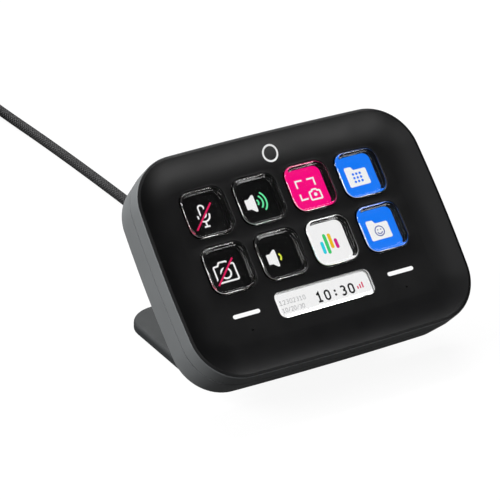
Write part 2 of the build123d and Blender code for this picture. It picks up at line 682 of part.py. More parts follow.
def make_stand_foot():
    """Foot plate and the leg, upright from the plate and then bent back along the case."""
    plate = foot_plan(0, FOOT_LIFT, foot_top)
    plate = fillet(plate.edges().group_by(Axis.Z)[-1], FOOT_EDGE)
    rear_top = world_yz(LEG_TOP, back_z - LEG_THICK)
    front_top = world_yz(LEG_TOP, back_z)
    heel_y = foot_front_y + LEG_UPRIGHT
    front_z = foot_top + FOOT_FRONT_SET * lean_sin / lean_cos
    elbow_z = foot_top + (heel_y - back_line_y(back_z - LEG_THICK)) * lean_sin / lean_cos
    root = foot_top - FOOT_THICK / 2
    profile = polygon([(foot_front_y, root), (foot_front_y, front_z), front_top, rear_top, (heel_y, elbow_z),
                       (heel_y, foot_top), (heel_y + LEG_HEEL, foot_top), (heel_y + LEG_HEEL, root)],
                      [(5, LEG_FILLET), (4, LEG_FILLET), (3, LEG_TOP_ROUND)])
    leg = Pos(-LEG_WIDTH / 2, 0, 0) * extrude(Plane.YZ * profile, amount=LEG_WIDTH, dir=(1, 0, 0))
    reach = 2 * half_h
    leg &= panel_location() * rounded(LEG_WIDTH, reach, LEG_CORNER, back_z - reach, back_z + reach,
                                      0, LEG_TOP - reach / 2)
    stand = plate + leg
    cuts = [foot_plan(PAD_INSET, FOOT_LIFT - 1, PAD_THICK),
            foot_plan(PAD_INSET + BALLAST_INSET, FOOT_LIFT - 1, PAD_THICK + BALLAST_THICK)]
    holes = []
    for x, y in stand_screw_places():
        holes.append(post(SCREW_STAND + SCREW_CLEARANCE, back_z - LEG_THICK - 1, back_z + 1, x, y))
        holes.append(post(STAND_HEAD + SCREW_CLEARANCE, back_z - LEG_THICK - 1,
                          back_z - LEG_THICK + HEAD_HEIGHT + STAND_HEAD_SINK, x, y))
    return stand - cuts - [panel_location() * hole for hole in holes]


def make_foot_pad():
    """Rubber pad that the part rests on."""
    return foot_plan(PAD_INSET, 0, PAD_THICK)


def make_foot_ballast():
    """Steel plate between the pad and the foot."""
    return foot_plan(PAD_INSET + BALLAST_INSET, PAD_THICK, PAD_THICK + BALLAST_THICK)


# ---- lead, in the world frame ----
exit_y, exit_z = world_yz(gland_y, back_z - GLAND_LENGTH)
EXIT_RUN = 12.0
CORD_ROUTE = [
    (0.0, exit_y, exit_z),
    (0.0, exit_y + EXIT_RUN * lean_sin, exit_z - EXIT_RUN * lean_cos),
    (0.6, 40.0, 9.6),
    (1.9, 64.0, 3.6),
    (2.9, 92.0, CORD_RADIUS + FLOOR_CLEAR),
    (2.4, 130.0, CORD_RADIUS + FLOOR_CLEAR),
    (1.0, 172.0, CORD_RADIUS + FLOOR_CLEAR),
    (-1.2, 208.0, CORD_RADIUS + FLOOR_CLEAR),
    (-2.0, 235.0, CORD_RADIUS + FLOOR_CLEAR),
]
coil_band = COIL_TURNS / COIL_LAYERS * 2 * CORD_RADIUS
coil_outer = COIL_RADIUS + coil_band / 2
coil_height = COIL_LAYERS * 2 * CORD_RADIUS
coil_x = CORD_ROUTE[-1][0] - coil_outer
coil_y = CORD_ROUTE[-1][1]
coil_top = FLOOR_CLEAR + coil_height
plug_z = coil_top + FLOOR_CLEAR + PLUG_HEIGHT / 2
plug_x = coil_x - PLUG_OFFSET
plug_y = coil_y + coil_outer - PLUG_SETBACK
TAIL_ROUTE = [
    (coil_x, coil_y + coil_outer, coil_top - CORD_RADIUS),
    (coil_x - 9.0, coil_y + coil_outer, coil_top - 0.7),
    (coil_x - 16.8, coil_y + coil_outer - 5.4, coil_top + 1.8),
    (plug_x, plug_y, plug_z),
    (plug_x + TAIL_RUN * cos(radians(PLUG_HEADING)), plug_y + TAIL_RUN * sin(radians(PLUG_HEADING)), plug_z),
]


def cord_radii(route):
    """The arc at each inner point: as large as its two runs allow."""
    radii = []
    for before, here, after in zip(route, route[1:], route[2:]):
        first = Vector(*here) - Vector(*before)
        second = Vector(*after) - Vector(*here)
        half_turn = radians(first.get_angle(second)) / 2
        radii.append(0.45 * min(first.length, second.length) / tan(half_turn))
    return radii


def make_cord(name, route):
    """A round tube along straight runs joined by tangent arcs."""
    radii = cord_radii(route)
    path = FilletPolyline(*route, radius=radii)
    start = Plane(origin=path @ 0, z_dir=path % 0)
    tube = sweep(start * Circle(CORD_RADIUS), path=path)
    print(name, "radii", [round(r, 1) for r in radii], "length", round(path.length, 1),
          "volume share", round(tube.volume / (path.length * pi * CORD_RADIUS ** 2), 4))
    return tube


def make_cord_gland():
    """Moulded strain relief: collar inside, neck in the hole, flange and taper outside."""
    profile = polygon([(0, inner_back + GLAND_COLLAR_THICK), (GLAND_COLLAR, inner_back + GLAND_COLLAR_THICK),
                       (GLAND_COLLAR, inner_back), (GLAND_ROOT, inner_back), (GLAND_ROOT, back_z),
                       (GLAND_FLANGE, back_z), (GLAND_FLANGE, back_z - GLAND_FLANGE_THICK),
                       (GLAND_ROOT, back_z - GLAND_FLANGE_THICK), (GLAND_TIP, back_z - GLAND_LENGTH),
                       (0, back_z - GLAND_LENGTH)])
    return Pos(0, gland_y, 0) * revolve(Plane.XZ * profile, Axis.Z, 360)


def make_cord_coil():
    """Outer shape of the wound spare length."""
    ring = slab(Circle(coil_outer + CORD_RADIUS) - Circle(coil_outer - coil_band - CORD_RADIUS),
                FLOOR_CLEAR, coil_top)
    return Pos(coil_x, coil_y, 0) * fillet(ring.edges().filter_by(GeomType.CIRCLE), CORD_RADIUS * 0.8)


def plug_location(along):
    """A place on the plug's axis, with z along it."""
    a = radians(PLUG_HEADING)
    x, y, z = TAIL_ROUTE[-1]
    return Location(Plane(origin=(x + along * cos(a), y + along * sin(a), z), x_dir=(0, 0, 1),
                          z_dir=(cos(a), sin(a), 0)))


def make_plug_body():
    """Overmould of the plug with its strain relief."""
    block = slab(RectangleRounded(PLUG_HEIGHT, PLUG_WIDTH, PLUG_EDGE), 0, PLUG_LENGTH)
    block = fillet(block.edges().group_by(Axis.Z)[0] + block.edges().group_by(Axis.Z)[-1], PLUG_EDGE * 0.6)
    relief = Pos(0, 0, -PLUG_RELIEF / 2) * Cone(CORD_RADIUS + RELIEF_TIP_WALL, CORD_RADIUS + RELIEF_ROOT_WALL, PLUG_RELIEF)
    socket = slab(RectangleRounded(SHELL_HEIGHT, SHELL_WIDTH, SHELL_CORNER), PLUG_LENGTH - SHELL_ROOT,
                  PLUG_LENGTH + 1)
    return plug_location(PLUG_RELIEF) * (block + relief - socket)


def make_plug_shell():
    """Steel shell of the plug, open at its mouth."""
    low, high = PLUG_LENGTH - SHELL_ROOT, PLUG_LENGTH + SHELL_LENGTH
    shell = slab(RectangleRounded(SHELL_HEIGHT, SHELL_WIDTH, SHELL_CORNER), low, high)
    shell -= slab(Rectangle(SHELL_HEIGHT - 2 * SHELL_WALL, SHELL_WIDTH - 2 * SHELL_WALL), low + 1, high + 1)
    hole = Box(4 * SHELL_WALL, SHELL_HOLE, SHELL_HOLE)
    shell -= [Pos(x, y, high - SHELL_HOLE_BACK) * hole
              for x, y in mirrored_places(SHELL_HEIGHT / 2, SHELL_HOLE_SIDE)]
    return plug_location(PLUG_RELIEF) * shell


def make_plug_tongue():
    """Insulating tongue inside the plug's shell."""
    low, high = PLUG_LENGTH - SHELL_ROOT + 1, PLUG_LENGTH + SHELL_LENGTH - TONGUE_SET
    place = -SHELL_HEIGHT / 2 + SHELL_WALL + TONGUE_HEIGHT / 2
    tongue = Pos(place, 0, (low + high) / 2) * Box(TONGUE_HEIGHT, SHELL_WIDTH - 2 * SHELL_WALL, high - low)
    return plug_location(PLUG_RELIEF) * tongue


# ---- every node ----
in_face = {
    "faceplate": make_faceplate(),
    "front_housing": make_front_housing(),
    "rear_housing": make_rear_housing(),
    "key_guide": make_key_guide(),
    "key_sheet": make_key_sheet(),
    "contact_sheet": make_contact_sheet(),
    "lcd_panel": make_lcd_panel(),
    "lcd_backlight": make_lcd_backlight(),
    "strip_window": make_strip_window(),
    "strip_display": make_strip_display(),
    "touch_bar_left": make_touch_bar(-1),
    "touch_bar_right": make_touch_bar(1),
    "touch_lamps": make_touch_lamps(),
    "touch_board": make_touch_board(),
    "tray": make_tray(),
    "main_board": make_main_board(),
    "board_chips": make_board_chips(),
    "lead_socket": make_lead_socket(),
    "lcd_ribbon": make_lcd_ribbon(),
    "touch_ribbon": make_touch_ribbon(),
    "case_screws": make_case_screws(),
    "board_screws": make_board_screws(),
    "stand_screws": make_stand_screws(),
    "cord_gland": make_cord_gland(),
}
for number, (x, y) in enumerate(key_places, 1):
    in_face[f"key_cap_{number}"] = make_key_cap(x, y)
    in_face[f"key_pusher_{number}"] = make_key_pusher(x, y)

in_world = {
    "stand_foot": make_stand_foot(),
    "foot_pad": make_foot_pad(),
    "foot_ballast": make_foot_ballast(),
    "cord_lead": make_cord("cord_lead", CORD_ROUTE),
    "cord_coil": make_cord_coil(),
    "cord_tail": make_cord("cord_tail", TAIL_ROUTE),
    "plug_body": make_plug_body(),
    "plug_shell": make_plug_shell(),
    "plug_tongue": make_plug_tongue(),
}


def solids_of(shape):
    """One compound of all the solids in a shape or a list of shapes."""
    shapes = shape if isinstance(shape, list) else [shape]
    return [solid for one in shapes for solid in one.solids()]


for name, shape in in_face.items():
    placed = [panel_location() * solid for solid in solids_of(shape)]
    export_step(Compound(placed), f"parts/{name}.step")
for name, shape in in_world.items():
    export_step(Compound(solids_of(shape)), f"parts/{name}.step")
print(len(in_face) + len(in_world), "nodes")
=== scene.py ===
"""Desk key panel: a tilted case with a dished black face, eight clear keys over picture tiles, a
strip display, two touch bars, a flat foot and a braided lead.

All sizes in the code are millimetres; meshes are written in metres. Pieces of the case are worked
out in the face's own frame (x right, y up the face, z out of it) and then turned into the part's."""

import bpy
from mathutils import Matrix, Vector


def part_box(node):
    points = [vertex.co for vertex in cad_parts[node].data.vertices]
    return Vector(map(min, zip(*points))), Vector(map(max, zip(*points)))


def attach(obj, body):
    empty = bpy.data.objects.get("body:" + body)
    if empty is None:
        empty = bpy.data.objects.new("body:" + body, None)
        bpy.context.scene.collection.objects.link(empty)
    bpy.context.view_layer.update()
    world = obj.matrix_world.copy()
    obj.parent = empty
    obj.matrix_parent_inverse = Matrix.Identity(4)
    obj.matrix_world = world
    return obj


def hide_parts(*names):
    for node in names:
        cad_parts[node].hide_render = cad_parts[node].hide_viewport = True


bl_info = {
    "name": "Desk key panel",
    "version": (1, 0, 0),
    "blender": (4, 5, 0),
    "location": "3D View > Sidebar > Key Panel",
    "description": "Builds a desk key panel with clear keys, picture tiles, foot and braided lead",
    "category": "Add Mesh",
}

from math import atan2, cos, hypot, pi, radians, sin, sqrt
from types import SimpleNamespace

import bmesh
import bpy
import numpy as np
from mathutils import Matrix, Vector
from mathutils.geometry import delaunay_2d_cdt

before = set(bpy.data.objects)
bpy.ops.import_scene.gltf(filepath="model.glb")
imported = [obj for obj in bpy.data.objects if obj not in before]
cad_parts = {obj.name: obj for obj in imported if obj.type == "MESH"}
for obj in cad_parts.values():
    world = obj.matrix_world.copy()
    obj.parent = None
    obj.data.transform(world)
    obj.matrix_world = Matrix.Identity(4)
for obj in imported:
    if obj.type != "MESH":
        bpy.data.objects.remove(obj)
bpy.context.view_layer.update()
MM = 0.001
KEYS = range(1, 9)


# ---- settings ----
def linear(code):
    """An sRGB hex colour as linear RGBA."""
    parts = [int(code[i:i + 2], 16) / 255 for i in (1, 3, 5)]
    return tuple(c / 12.92 if c <= 0.04045 else ((c + 0.055) / 1.055) ** 2.4 for c in parts) + (1.0,)


def length(name, description, value):
    """A setting given in millimetres and kept in metres."""
    return bpy.props.FloatProperty(name=name, description=description, default=value * MM,
                                   unit="LENGTH", precision=5)


def angle(name, description, value):
    """A setting given in degrees and kept in radians."""
    return bpy.props.FloatProperty(name=name, description=description, default=radians(value),
                                   subtype="ANGLE")


def paint(name, description, code):
    """A colour setting, given as a hex code."""
    return bpy.props.FloatVectorProperty(name=name, description=description, default=linear(code),
                                         size=4, min=0, max=1, subtype="COLOR")


class KeyPanelCase(bpy.types.PropertyGroup):
    """Sizes of the case and its dished face"""
    width: length("Width", "Case from side to side", 107.0)
    height: length("Height", "Case from bottom to top along the face", 78.0)
    tilt: angle("Tilt", "Face against the desk", 45.0)
    side_bow: length("Side bow", "Radius of the bowed left and right sides", 520.0)
    top_bow: length("Top bow", "Radius of the bowed top and bottom", 1800.0)
    corner: length("Corner", "Corner radius of the outline", 16.8)
    seam_depth: length("Seam depth", "Outline to the joint of the two shells", 6.5)
    seam_gap: length("Seam gap", "Each shell's end before the middle of the joint", 0.15)
    seam_break: length("Seam break", "Edge break at the joint", 0.12)
    depth: length("Depth", "Outline to the back of the case", 18.4)
    wall: length("Wall", "Thickness of both shells", 1.8)
    taper: length("Taper", "How far the rear shell draws in", 1.0)
    back_round: length("Back round", "Rounding of the rear edge", 1.6)
    lip: length("Lip", "Grey edge left outside the face", 0.3)
    edge_round: length("Edge round", "Rounding of the front shell's outer edge", 0.28)
    rim_width: length("Rim width", "Slope from the lip to the crest", 0.85)
    rim_rise: length("Rim rise", "Height of the crest", 0.4)
    rim_edge: length("Rim edge", "Height of the face's edge over the lip", 0.08)
    dish_width: length("Dish width", "Crest to the flat middle", 12.35)
    dish_depth: length("Dish depth", "Outline down to the flat middle", 2.2)
    face_thick: length("Face thickness", "Thickness of the flat middle", 1.4)
    ledge: length("Ledge", "Depth of the ledge that holds the face", 1.6)
    ledge_width: length("Ledge width", "Outline to the ledge's inner edge", 2.6)
    boss_inset: length("Screw inset", "Case screws inside the corner arcs", 5.8)


class KeyPanelKeys(bpy.types.PropertyGroup):
    """Sizes of the keys and their pictures"""
    pitch: length("Pitch", "Key to key", 19.55)
    middle: length("Middle", "Middle of the key grid over the middle of the face", 8.0)
    opening: length("Opening", "Side of a key's opening", 16.8)
    opening_round: length("Opening round", "Corner radius of an opening", 4.3)
    opening_break: length("Opening break", "Rounded edge of an opening", 0.35)
    gap: length("Gap", "Cap to opening", 0.4)
    proud: length("Proud", "Cap's top over the flat middle", 0.5)
    edge: length("Edge", "Rounding of the cap's top edge", 0.8)
    ridge: length("Ridge", "Cap's edge to the foot of its ridge", 1.6)
    hollow: length("Hollow", "Depth of the cap's hollow top", 0.35)
    flange: length("Flange", "Flange beyond the cap", 0.8)
    flange_thick: length("Flange thickness", "Thickness of the flange", 0.65)
    flange_gap: length("Flange gap", "Flange to the face's underside", 0.25)
    tile: length("Tile", "Side of a lit picture tile", 15.0)
    tile_tall: length("Tile height", "Height of a lit picture tile", 15.6)
    tile_round: length("Tile round", "Corner radius of a picture tile", 1.5)
    tile_right: length("Tile right", "Tile to the right of the key's middle", 0.7)
    tile_up: length("Tile up", "Tile above the key's middle", 0.05)
    sign_right: length("Sign right", "Sign to the right of the key's middle", 0.35)
    sign_up: length("Sign up", "Sign above the key's middle", 0.0)


class KeyPanelStrip(bpy.types.PropertyGroup):
    """Sizes of the strip display and the touch bars"""
    width: length("Width", "Width of the strip display's opening", 36.3)
    height: length("Height", "Height of the strip display's opening", 9.0)
    corner: length("Corner", "Corner radius of the opening", 2.2)
    gap: length("Gap", "Window to opening", 0.1)
    middle: length("Middle", "Strip's middle against the face's middle", -18.195)
    bar_rise: length("Bar rise", "Bars above the strip's middle", 0.3)
    bar_x: length("Bar place", "Middle of a touch bar from the face's middle", 29.4)
    bar_length: length("Bar length", "Length of a touch bar", 10.0)
    bar_width: length("Bar width", "Width of a touch bar", 1.4)
    dot_drop: length("Dot drop", "Sensing dot below its bar", 5.6)
    dot_radius: length("Dot radius", "Radius of a sensing dot", 0.35)
    dot_depth: length("Dot depth", "Depth of a sensing dot", 0.6)


class KeyPanelStand(bpy.types.PropertyGroup):
    """Sizes of the foot and its leg"""
    corner: length("Rear corner", "Corner radius at the foot's rear", 11.0)
    front_corner: length("Front corner", "Corner radius at the foot's front", 5.0)
    edge: length("Edge", "Rounding of the foot's top edge", 1.2)
    lift: length("Lift", "Plastic over the desk", 0.3)
    thick: length("Thickness", "Thickness of the foot plate", 3.0)
    pad_inset: length("Pad inset", "Pad inside the foot's outline", 3.0)
    leg_width: length("Leg width", "Width of the leg", 52.0)
    leg_thick: length("Leg thickness", "Thickness of the leg", 3.2)
    leg_upright: length("Leg upright", "Thickness of the leg's upright foot", 4.6)
    leg_top: length("Leg top", "Top of the leg against the face's middle", -6.0)
    leg_corner: length("Leg corner", "Corner radius at the leg's top", 6.0)
    front_set: length("Front set", "Foot's front behind the line of the case's back", 9.5)


class KeyPanelLead(bpy.types.PropertyGroup):
    """Sizes of the braided lead"""
    diameter: length("Diameter", "Braided lead's diameter", 3.8)
    total: length("Length", "Lead from the case to the plug", 1450.0)
    coil_radius: length("Coil radius", "Middle of the coil's turns", 22.8)
    turns: bpy.props.FloatProperty(name="Turns", description="Turns of the coil", default=8.25)
    layers: bpy.props.IntProperty(name="Layers", description="Layers of the coil", default=4)
    gland_y: length("Gland place", "Gland over the face's middle", 4.0)
    gland_length: length("Gland length", "Strain relief outside the case", 12.0)


class KeyPanelFinish(bpy.types.PropertyGroup):
    """Colours that a user would change"""
    face: paint("Face", "Black ABS of the dished face", "#080809")
    shell: paint("Shells", "Grey ABS of the case", "#505253")
    foot: paint("Foot", "Grey ABS of the foot", "#1a1c1d")
    braid: paint("Braid", "Nylon braid", "#262628")
    white: paint("White", "White of the displays", "#fafafa")
    pink: paint("Pink", "Pink picture tile", "#ff0082")
    blue: paint("Blue", "Blue picture tiles", "#147dff")
    floor: paint("Floor", "Desk surface", "#3c3c3c")


class KeyPanelSettings(bpy.types.PropertyGroup):
    """All settings of the key panel"""
    case: bpy.props.PointerProperty(type=KeyPanelCase)
    keys: bpy.props.PointerProperty(type=KeyPanelKeys)
    strip: bpy.props.PointerProperty(type=KeyPanelStrip)
    stand: bpy.props.PointerProperty(type=KeyPanelStand)
    lead: bpy.props.PointerProperty(type=KeyPanelLead)
    finish: bpy.props.PointerProperty(type=KeyPanelFinish)


def settings(name):
    """One group of the scene's settings, with its lengths in millimetres."""
    group = getattr(bpy.context.scene.key_panel, name)
    values = {}
    for key in type(group).__annotations__:
        value = getattr(group, key)
        values[key] = value / MM if group.bl_rna.properties[key].unit == "LENGTH" else value
    return SimpleNamespace(**values)


# ---- places ----
def face_origin():
    """Y and Z of the face frame's origin, from the front shell's box: its lowest Y is the outline's
    bottom and its highest Z the outline's top."""
    case = settings("case")
    low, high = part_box("front_housing")
    half = case.height / 2
    return low.y / MM + half * cos(case.tilt), high.z / MM - half * sin(case.tilt)


def to_world(points):
    """Face frame to part frame: Y = Y0 + y cos - z sin, Z = Z0 + y sin + z cos."""
    tilt = settings("case").tilt
    y0, z0 = face_origin()
    x, y, z = np.moveaxis(np.asarray(points, float), -1, 0)
    return np.stack((x, y0 + y * cos(tilt) - z * sin(tilt), z0 + y * sin(tilt) + z * cos(tilt)), -1)


def in_face(node):
    """Lowest and highest corner of a CAD node in the face frame, from its vertices."""
    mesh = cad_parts[node].data
    points = np.empty(len(mesh.vertices) * 3)
    mesh.vertices.foreach_get("co", points)
    x, y, z = points.reshape(-1, 3).T / MM
    tilt = settings("case").tilt
    y0, z0 = face_origin()
    turned = np.stack((x, (y - y0) * cos(tilt) + (z - z0) * sin(tilt),
                       (z - z0) * cos(tilt) - (y - y0) * sin(tilt)))
    return turned.min(1), turned.max(1)


def key_places():
    """Middle of each key, left to right and top row first."""
    keys = settings("keys")
    return [((i - 1.5) * keys.pitch, keys.middle + (0.5 - j) * keys.pitch)
            for j in range(2) for i in range(4)]


# ---- shapes as arrays ----
def soften(corners, steps=6, hold=0.12):
    """A closed line with rounded corners.

    corners is (..., k, 3): x, y and radius. Each corner is swapped for its tangent arc,
    start + r (sin t along + (1 - cos t) across), with t from 0 to the turn, and one more point on
    each side that holds the flat run's shading.
    """
    corners = np.asarray(corners, float)
    here, radius = corners[..., :2], np.maximum(corners[..., 2:], 1e-4)
    along = here - np.roll(here, 1, -2)
    run = np.linalg.norm(along, axis=-1, keepdims=True)
    along = along / run
    onward = np.roll(along, -1, -2)
    across = np.stack((-along[..., 1], along[..., 0]), -1)
    cross = along[..., :1] * onward[..., 1:] - along[..., 1:] * onward[..., :1]
    side = np.where(cross < 0, -1.0, 1.0)
    turn = np.arctan2(np.abs(cross), (along * onward).sum(-1, keepdims=True))
    reach = radius * np.tan(turn / 2)
    t = np.linspace(0, 1, steps + 1) * turn
    first = here - reach * along
    arc = (first[..., None, :] + radius[..., None] * (np.sin(t)[..., None] * along[..., None, :]
           + side[..., None] * (1 - np.cos(t))[..., None] * across[..., None, :]))
    held = np.where(radius > 1e-3, hold, 0.0)
    before = (first - held * along)[..., None, :]
    after = (here + (reach + held) * onward)[..., None, :]
    line = np.concatenate((before, arc, after), -2)
    return line.reshape(*line.shape[:-3], -1, 2)


def rounded_rings(width, height, radius, insets, steps=8, middle=(0, 0), hold=0.3):
    """Rounded rectangles drawn in by each inset, as (inset, point, xy)."""
    inset = np.asarray(insets, float)[:, None]
    w, h = width / 2 - inset, height / 2 - inset
    r = np.maximum(radius - inset, 0.02)
    x = w * np.array([1, -1, -1, 1]) + middle[0]
    y = h * np.array([1, 1, -1, -1]) + middle[1]
    return soften(np.stack((x, y, r * np.ones(4)), -1), steps, hold)


def raised(rings, heights):
    """Rings (inset, point, xy) as points in space: heights holds one for each ring or each point."""
    heights = np.asarray(heights, float)
    heights = heights[:, None, None] if heights.ndim == 1 else heights[..., None]
    return np.concatenate((rings, np.broadcast_to(heights, rings.shape[:2] + (1,))), -1)


def circle(points):
    """Points (cos t, sin t) round a circle of radius 1."""
    t = np.linspace(0, 2 * pi, points, endpoint=False)
    return np.column_stack((np.cos(t), np.sin(t)))


def outline_path():
    """The case's outline as arcs: the centre, radius and angle of every point, anticlockwise.

    A corner's centre lies at the bow's radius less the corner's from the centre of a side's bow and
    of the top's, so the three arcs meet without a kink.
    """
    case = settings("case")
    half_w, half_h = case.width / 2, case.height / 2
    side_x, top_y = half_w - case.side_bow, half_h - case.top_bow
    to_side, to_top = case.side_bow - case.corner, case.top_bow - case.corner
    between = hypot(side_x, top_y)
    along = (to_side ** 2 - to_top ** 2 + between ** 2) / (2 * between)
    across = sqrt(to_side ** 2 - along ** 2)
    ux, uy = -side_x / between, top_y / between
    cx, cy = side_x + along * ux - across * uy, along * uy + across * ux
    low, high = atan2(cy, cx - side_x), atan2(cy - top_y, cx)
    on_side, on_corner, on_top = 12, 22, 16
    arcs = []
    for sign, half in ((1, 0), (-1, pi)):
        arcs += [((sign * side_x, 0), case.side_bow, half - low, half + low, on_side),
                 ((sign * cx, sign * cy), case.corner, half + low, half + high, on_corner),
                 ((0, sign * top_y), case.top_bow, half + high, half + pi - high, on_top),
                 ((-sign * cx, sign * cy), case.corner, half + pi - high, half + pi - low, on_corner)]
    centre = np.concatenate([np.tile(c, (n, 1)) for c, _, _, _, n in arcs])
    radius = np.concatenate([np.full(n, r) for _, r, _, _, n in arcs])
    turn = np.concatenate([np.linspace(a, b, n, endpoint=False) for _, _, a, b, n in arcs])
    return centre, radius, turn, (cx, cy)


def round_the_case(profile):
    """A profile of (inset, z) carried along the outline: centre + (radius - inset) (cos, sin)."""
    centre, radius, turn, _ = outline_path()
    reach = radius[:, None] - profile[None, :, 0]
    x = centre[:, :1] + reach * np.cos(turn)[:, None]
    y = centre[:, 1:] + reach * np.sin(turn)[:, None]
    return np.stack((x, y, np.broadcast_to(profile[:, 1], x.shape)), -1)


def dish_height(inset):
    """Height of the dished face at an inset: the flat middle plus R - sqrt(R^2 - distance^2), where R
    makes the arc rise from the flat middle to the crest."""
    case = settings("case")
    rise = case.dish_depth + case.rim_rise
    bow = (case.dish_width ** 2 + rise ** 2) / (2 * rise)
    away = np.clip(case.lip + case.rim_width + case.dish_width - inset, 0, case.dish_width)
    return -case.dish_depth + bow - np.sqrt(bow ** 2 - away ** 2)


def dish_at(x, y):
    """Height of the dished face at a place away from the sides: dish_height at the place's distance
    inside the bowed top or bottom."""
    case = settings("case")
    return dish_height(case.top_bow - np.hypot(x, np.abs(y) - (case.height / 2 - case.top_bow)))


class Skin:
    """Collects one piece's grids and fills, in millimetres."""

    def __init__(self):
        self.points, self.faces, self.slots, self.count = [], [], [], 0

    def add(self, points, faces, slot=0):
        """Faces over new points; slot is their material's number."""
        points = np.asarray(points, float).reshape(-1, 3)
        self.points.append(points)
        self.faces.extend((np.asarray(f) + self.count).tolist() for f in faces)
        self.slots.extend([slot] * len(faces))
        self.count += len(points)

    def grid(self, points, wrap_u=False, wrap_v=False):
        """Quads over a grid of points (u, v, xyz), joined round where it wraps."""
        n, m = points.shape[:2]
        index = np.arange(n * m).reshape(n, m)
        index = np.concatenate((index, index[:1])) if wrap_u else index
        index = np.concatenate((index, index[:, :1]), 1) if wrap_v else index
        quads = np.stack((index[:-1, :-1], index[1:, :-1], index[1:, 1:], index[:-1, 1:]), -1)
        self.add(points, quads.reshape(-1, 4))

    def fan(self, ring, tip):
        """Triangles from a closed ring to one point."""
        n = len(ring)
        faces = np.stack((np.arange(n), np.roll(np.arange(n), -1), np.full(n, n)), -1)
        self.add(np.vstack((ring, tip)), faces)

    def flat(self, outer, holes, z):
        """A sheet inside one closed line and outside the others: flat at height z, or bent by
        z(x, y)."""
        loops = [np.asarray(outer)[:, :2]] + [np.asarray(h)[:, :2] for h in holes]
        edges, start = [], 0
        for loop in loops:
            i = np.arange(len(loop))
            edges += (np.stack((i, np.roll(i, -1)), -1) + start).tolist()
            start += len(loop)
        found = delaunay_2d_cdt([Vector(p) for p in np.concatenate(loops)], edges, [], 0, 1e-5)
        points, faces = np.array([tuple(p) for p in found[0]]), np.array(found[2])
        middle = points[faces].mean(1)
        keep = inside(middle, loops[0])
        for hole in loops[1:]:
            keep &= ~inside(middle, hole)
        height = z(points[:, 0], points[:, 1]) if callable(z) else np.full(len(points), z)
        self.add(np.column_stack((points, height)), faces[keep])

    def piece(self, name, finishes, body="body", replaces=(), slot=None, world=False, closed=True,
              crisp=35):
        """Makes the object: doubles merged, faces outwards, smooth except over crisp degrees. The
        points are in the face frame unless world is set."""
        points = np.concatenate(self.points)
        points = (points if world else to_world(points)) * MM
        mesh = bpy.data.meshes.new(name)
        mesh.from_pydata(points.tolist(), [], self.faces)
        mesh.polygons.foreach_set("material_index", self.slots)
        for finish in finishes:
            mesh.materials.append(materials()[finish])
        bm = bmesh.new()
        bm.from_mesh(mesh)
        bmesh.ops.remove_doubles(bm, verts=bm.verts, dist=2e-6)
        bmesh.ops.dissolve_degenerate(bm, edges=bm.edges, dist=1e-7)
        if closed:
            bmesh.ops.recalc_face_normals(bm, faces=bm.faces)
        bm.to_mesh(mesh)
        bm.free()
        mesh.shade_smooth()
        mesh.set_sharp_from_angle(angle=radians(crisp))
        return place(name, mesh, body, replaces)


def inside(points, loop):
    """Which points lie inside a closed line, by counting the crossings of a ray to the right."""
    x, y = points[:, 0][:, None], points[:, 1][:, None]
    x1, y1 = loop[:, 0][None], loop[:, 1][None]
    x2, y2 = np.roll(loop[:, 0], -1)[None], np.roll(loop[:, 1], -1)[None]
    spans = (y1 > y) != (y2 > y)
    cut = x1 + (y - y1) * (x2 - x1) / np.where(y2 == y1, 1, y2 - y1)
    return (spans & (x < cut)).sum(1) % 2 == 1


def place(name, mesh, body, replaces=()):
    """Links a mesh as a piece that rides on a body and stands for CAD nodes."""
    obj = bpy.data.objects.new(name, mesh)
    bpy.context.scene.collection.objects.link(obj)
    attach(obj, body)
    if replaces:
        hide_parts(*replaces)
    return obj


def turned(profile, steps=48):
    """A profile of (radius, height) turned about the z axis."""
    t = np.linspace(0, 2 * pi, steps, endpoint=False)[:, None]
    r, z = profile[None, :, 0], profile[None, :, 1]
    return np.stack((r * np.cos(t), r * np.sin(t), np.broadcast_to(z, (steps, z.shape[1]))), -1)


# ---- materials ----
def socket(sockets, key):
    """A socket by its number, or the enabled one with a name."""
    if isinstance(key, int):
        return sockets[key]
    return next(s for s in sockets if s.name == key and s.enabled)


def add(tree, kind, inputs=None, **values):
    """Adds a shader node with its settings and its inputs, which are values or other sockets."""
    node = tree.nodes.new("ShaderNode" + kind)
    for key, value in values.items():
        setattr(node, key, value)
    for key, value in (inputs or {}).items():
        target = socket(node.inputs, key)
        if isinstance(value, bpy.types.NodeSocket):
            tree.links.new(value, target)
        else:
            target.default_value = value
    return node


def new_material(name):
    """An empty node material, its node tree and its texture coordinates."""
    material = bpy.data.materials.new(name)
    material.use_nodes = True
    tree = material.node_tree
    tree.nodes.clear()
    return material, tree, add(tree, "TexCoord").outputs


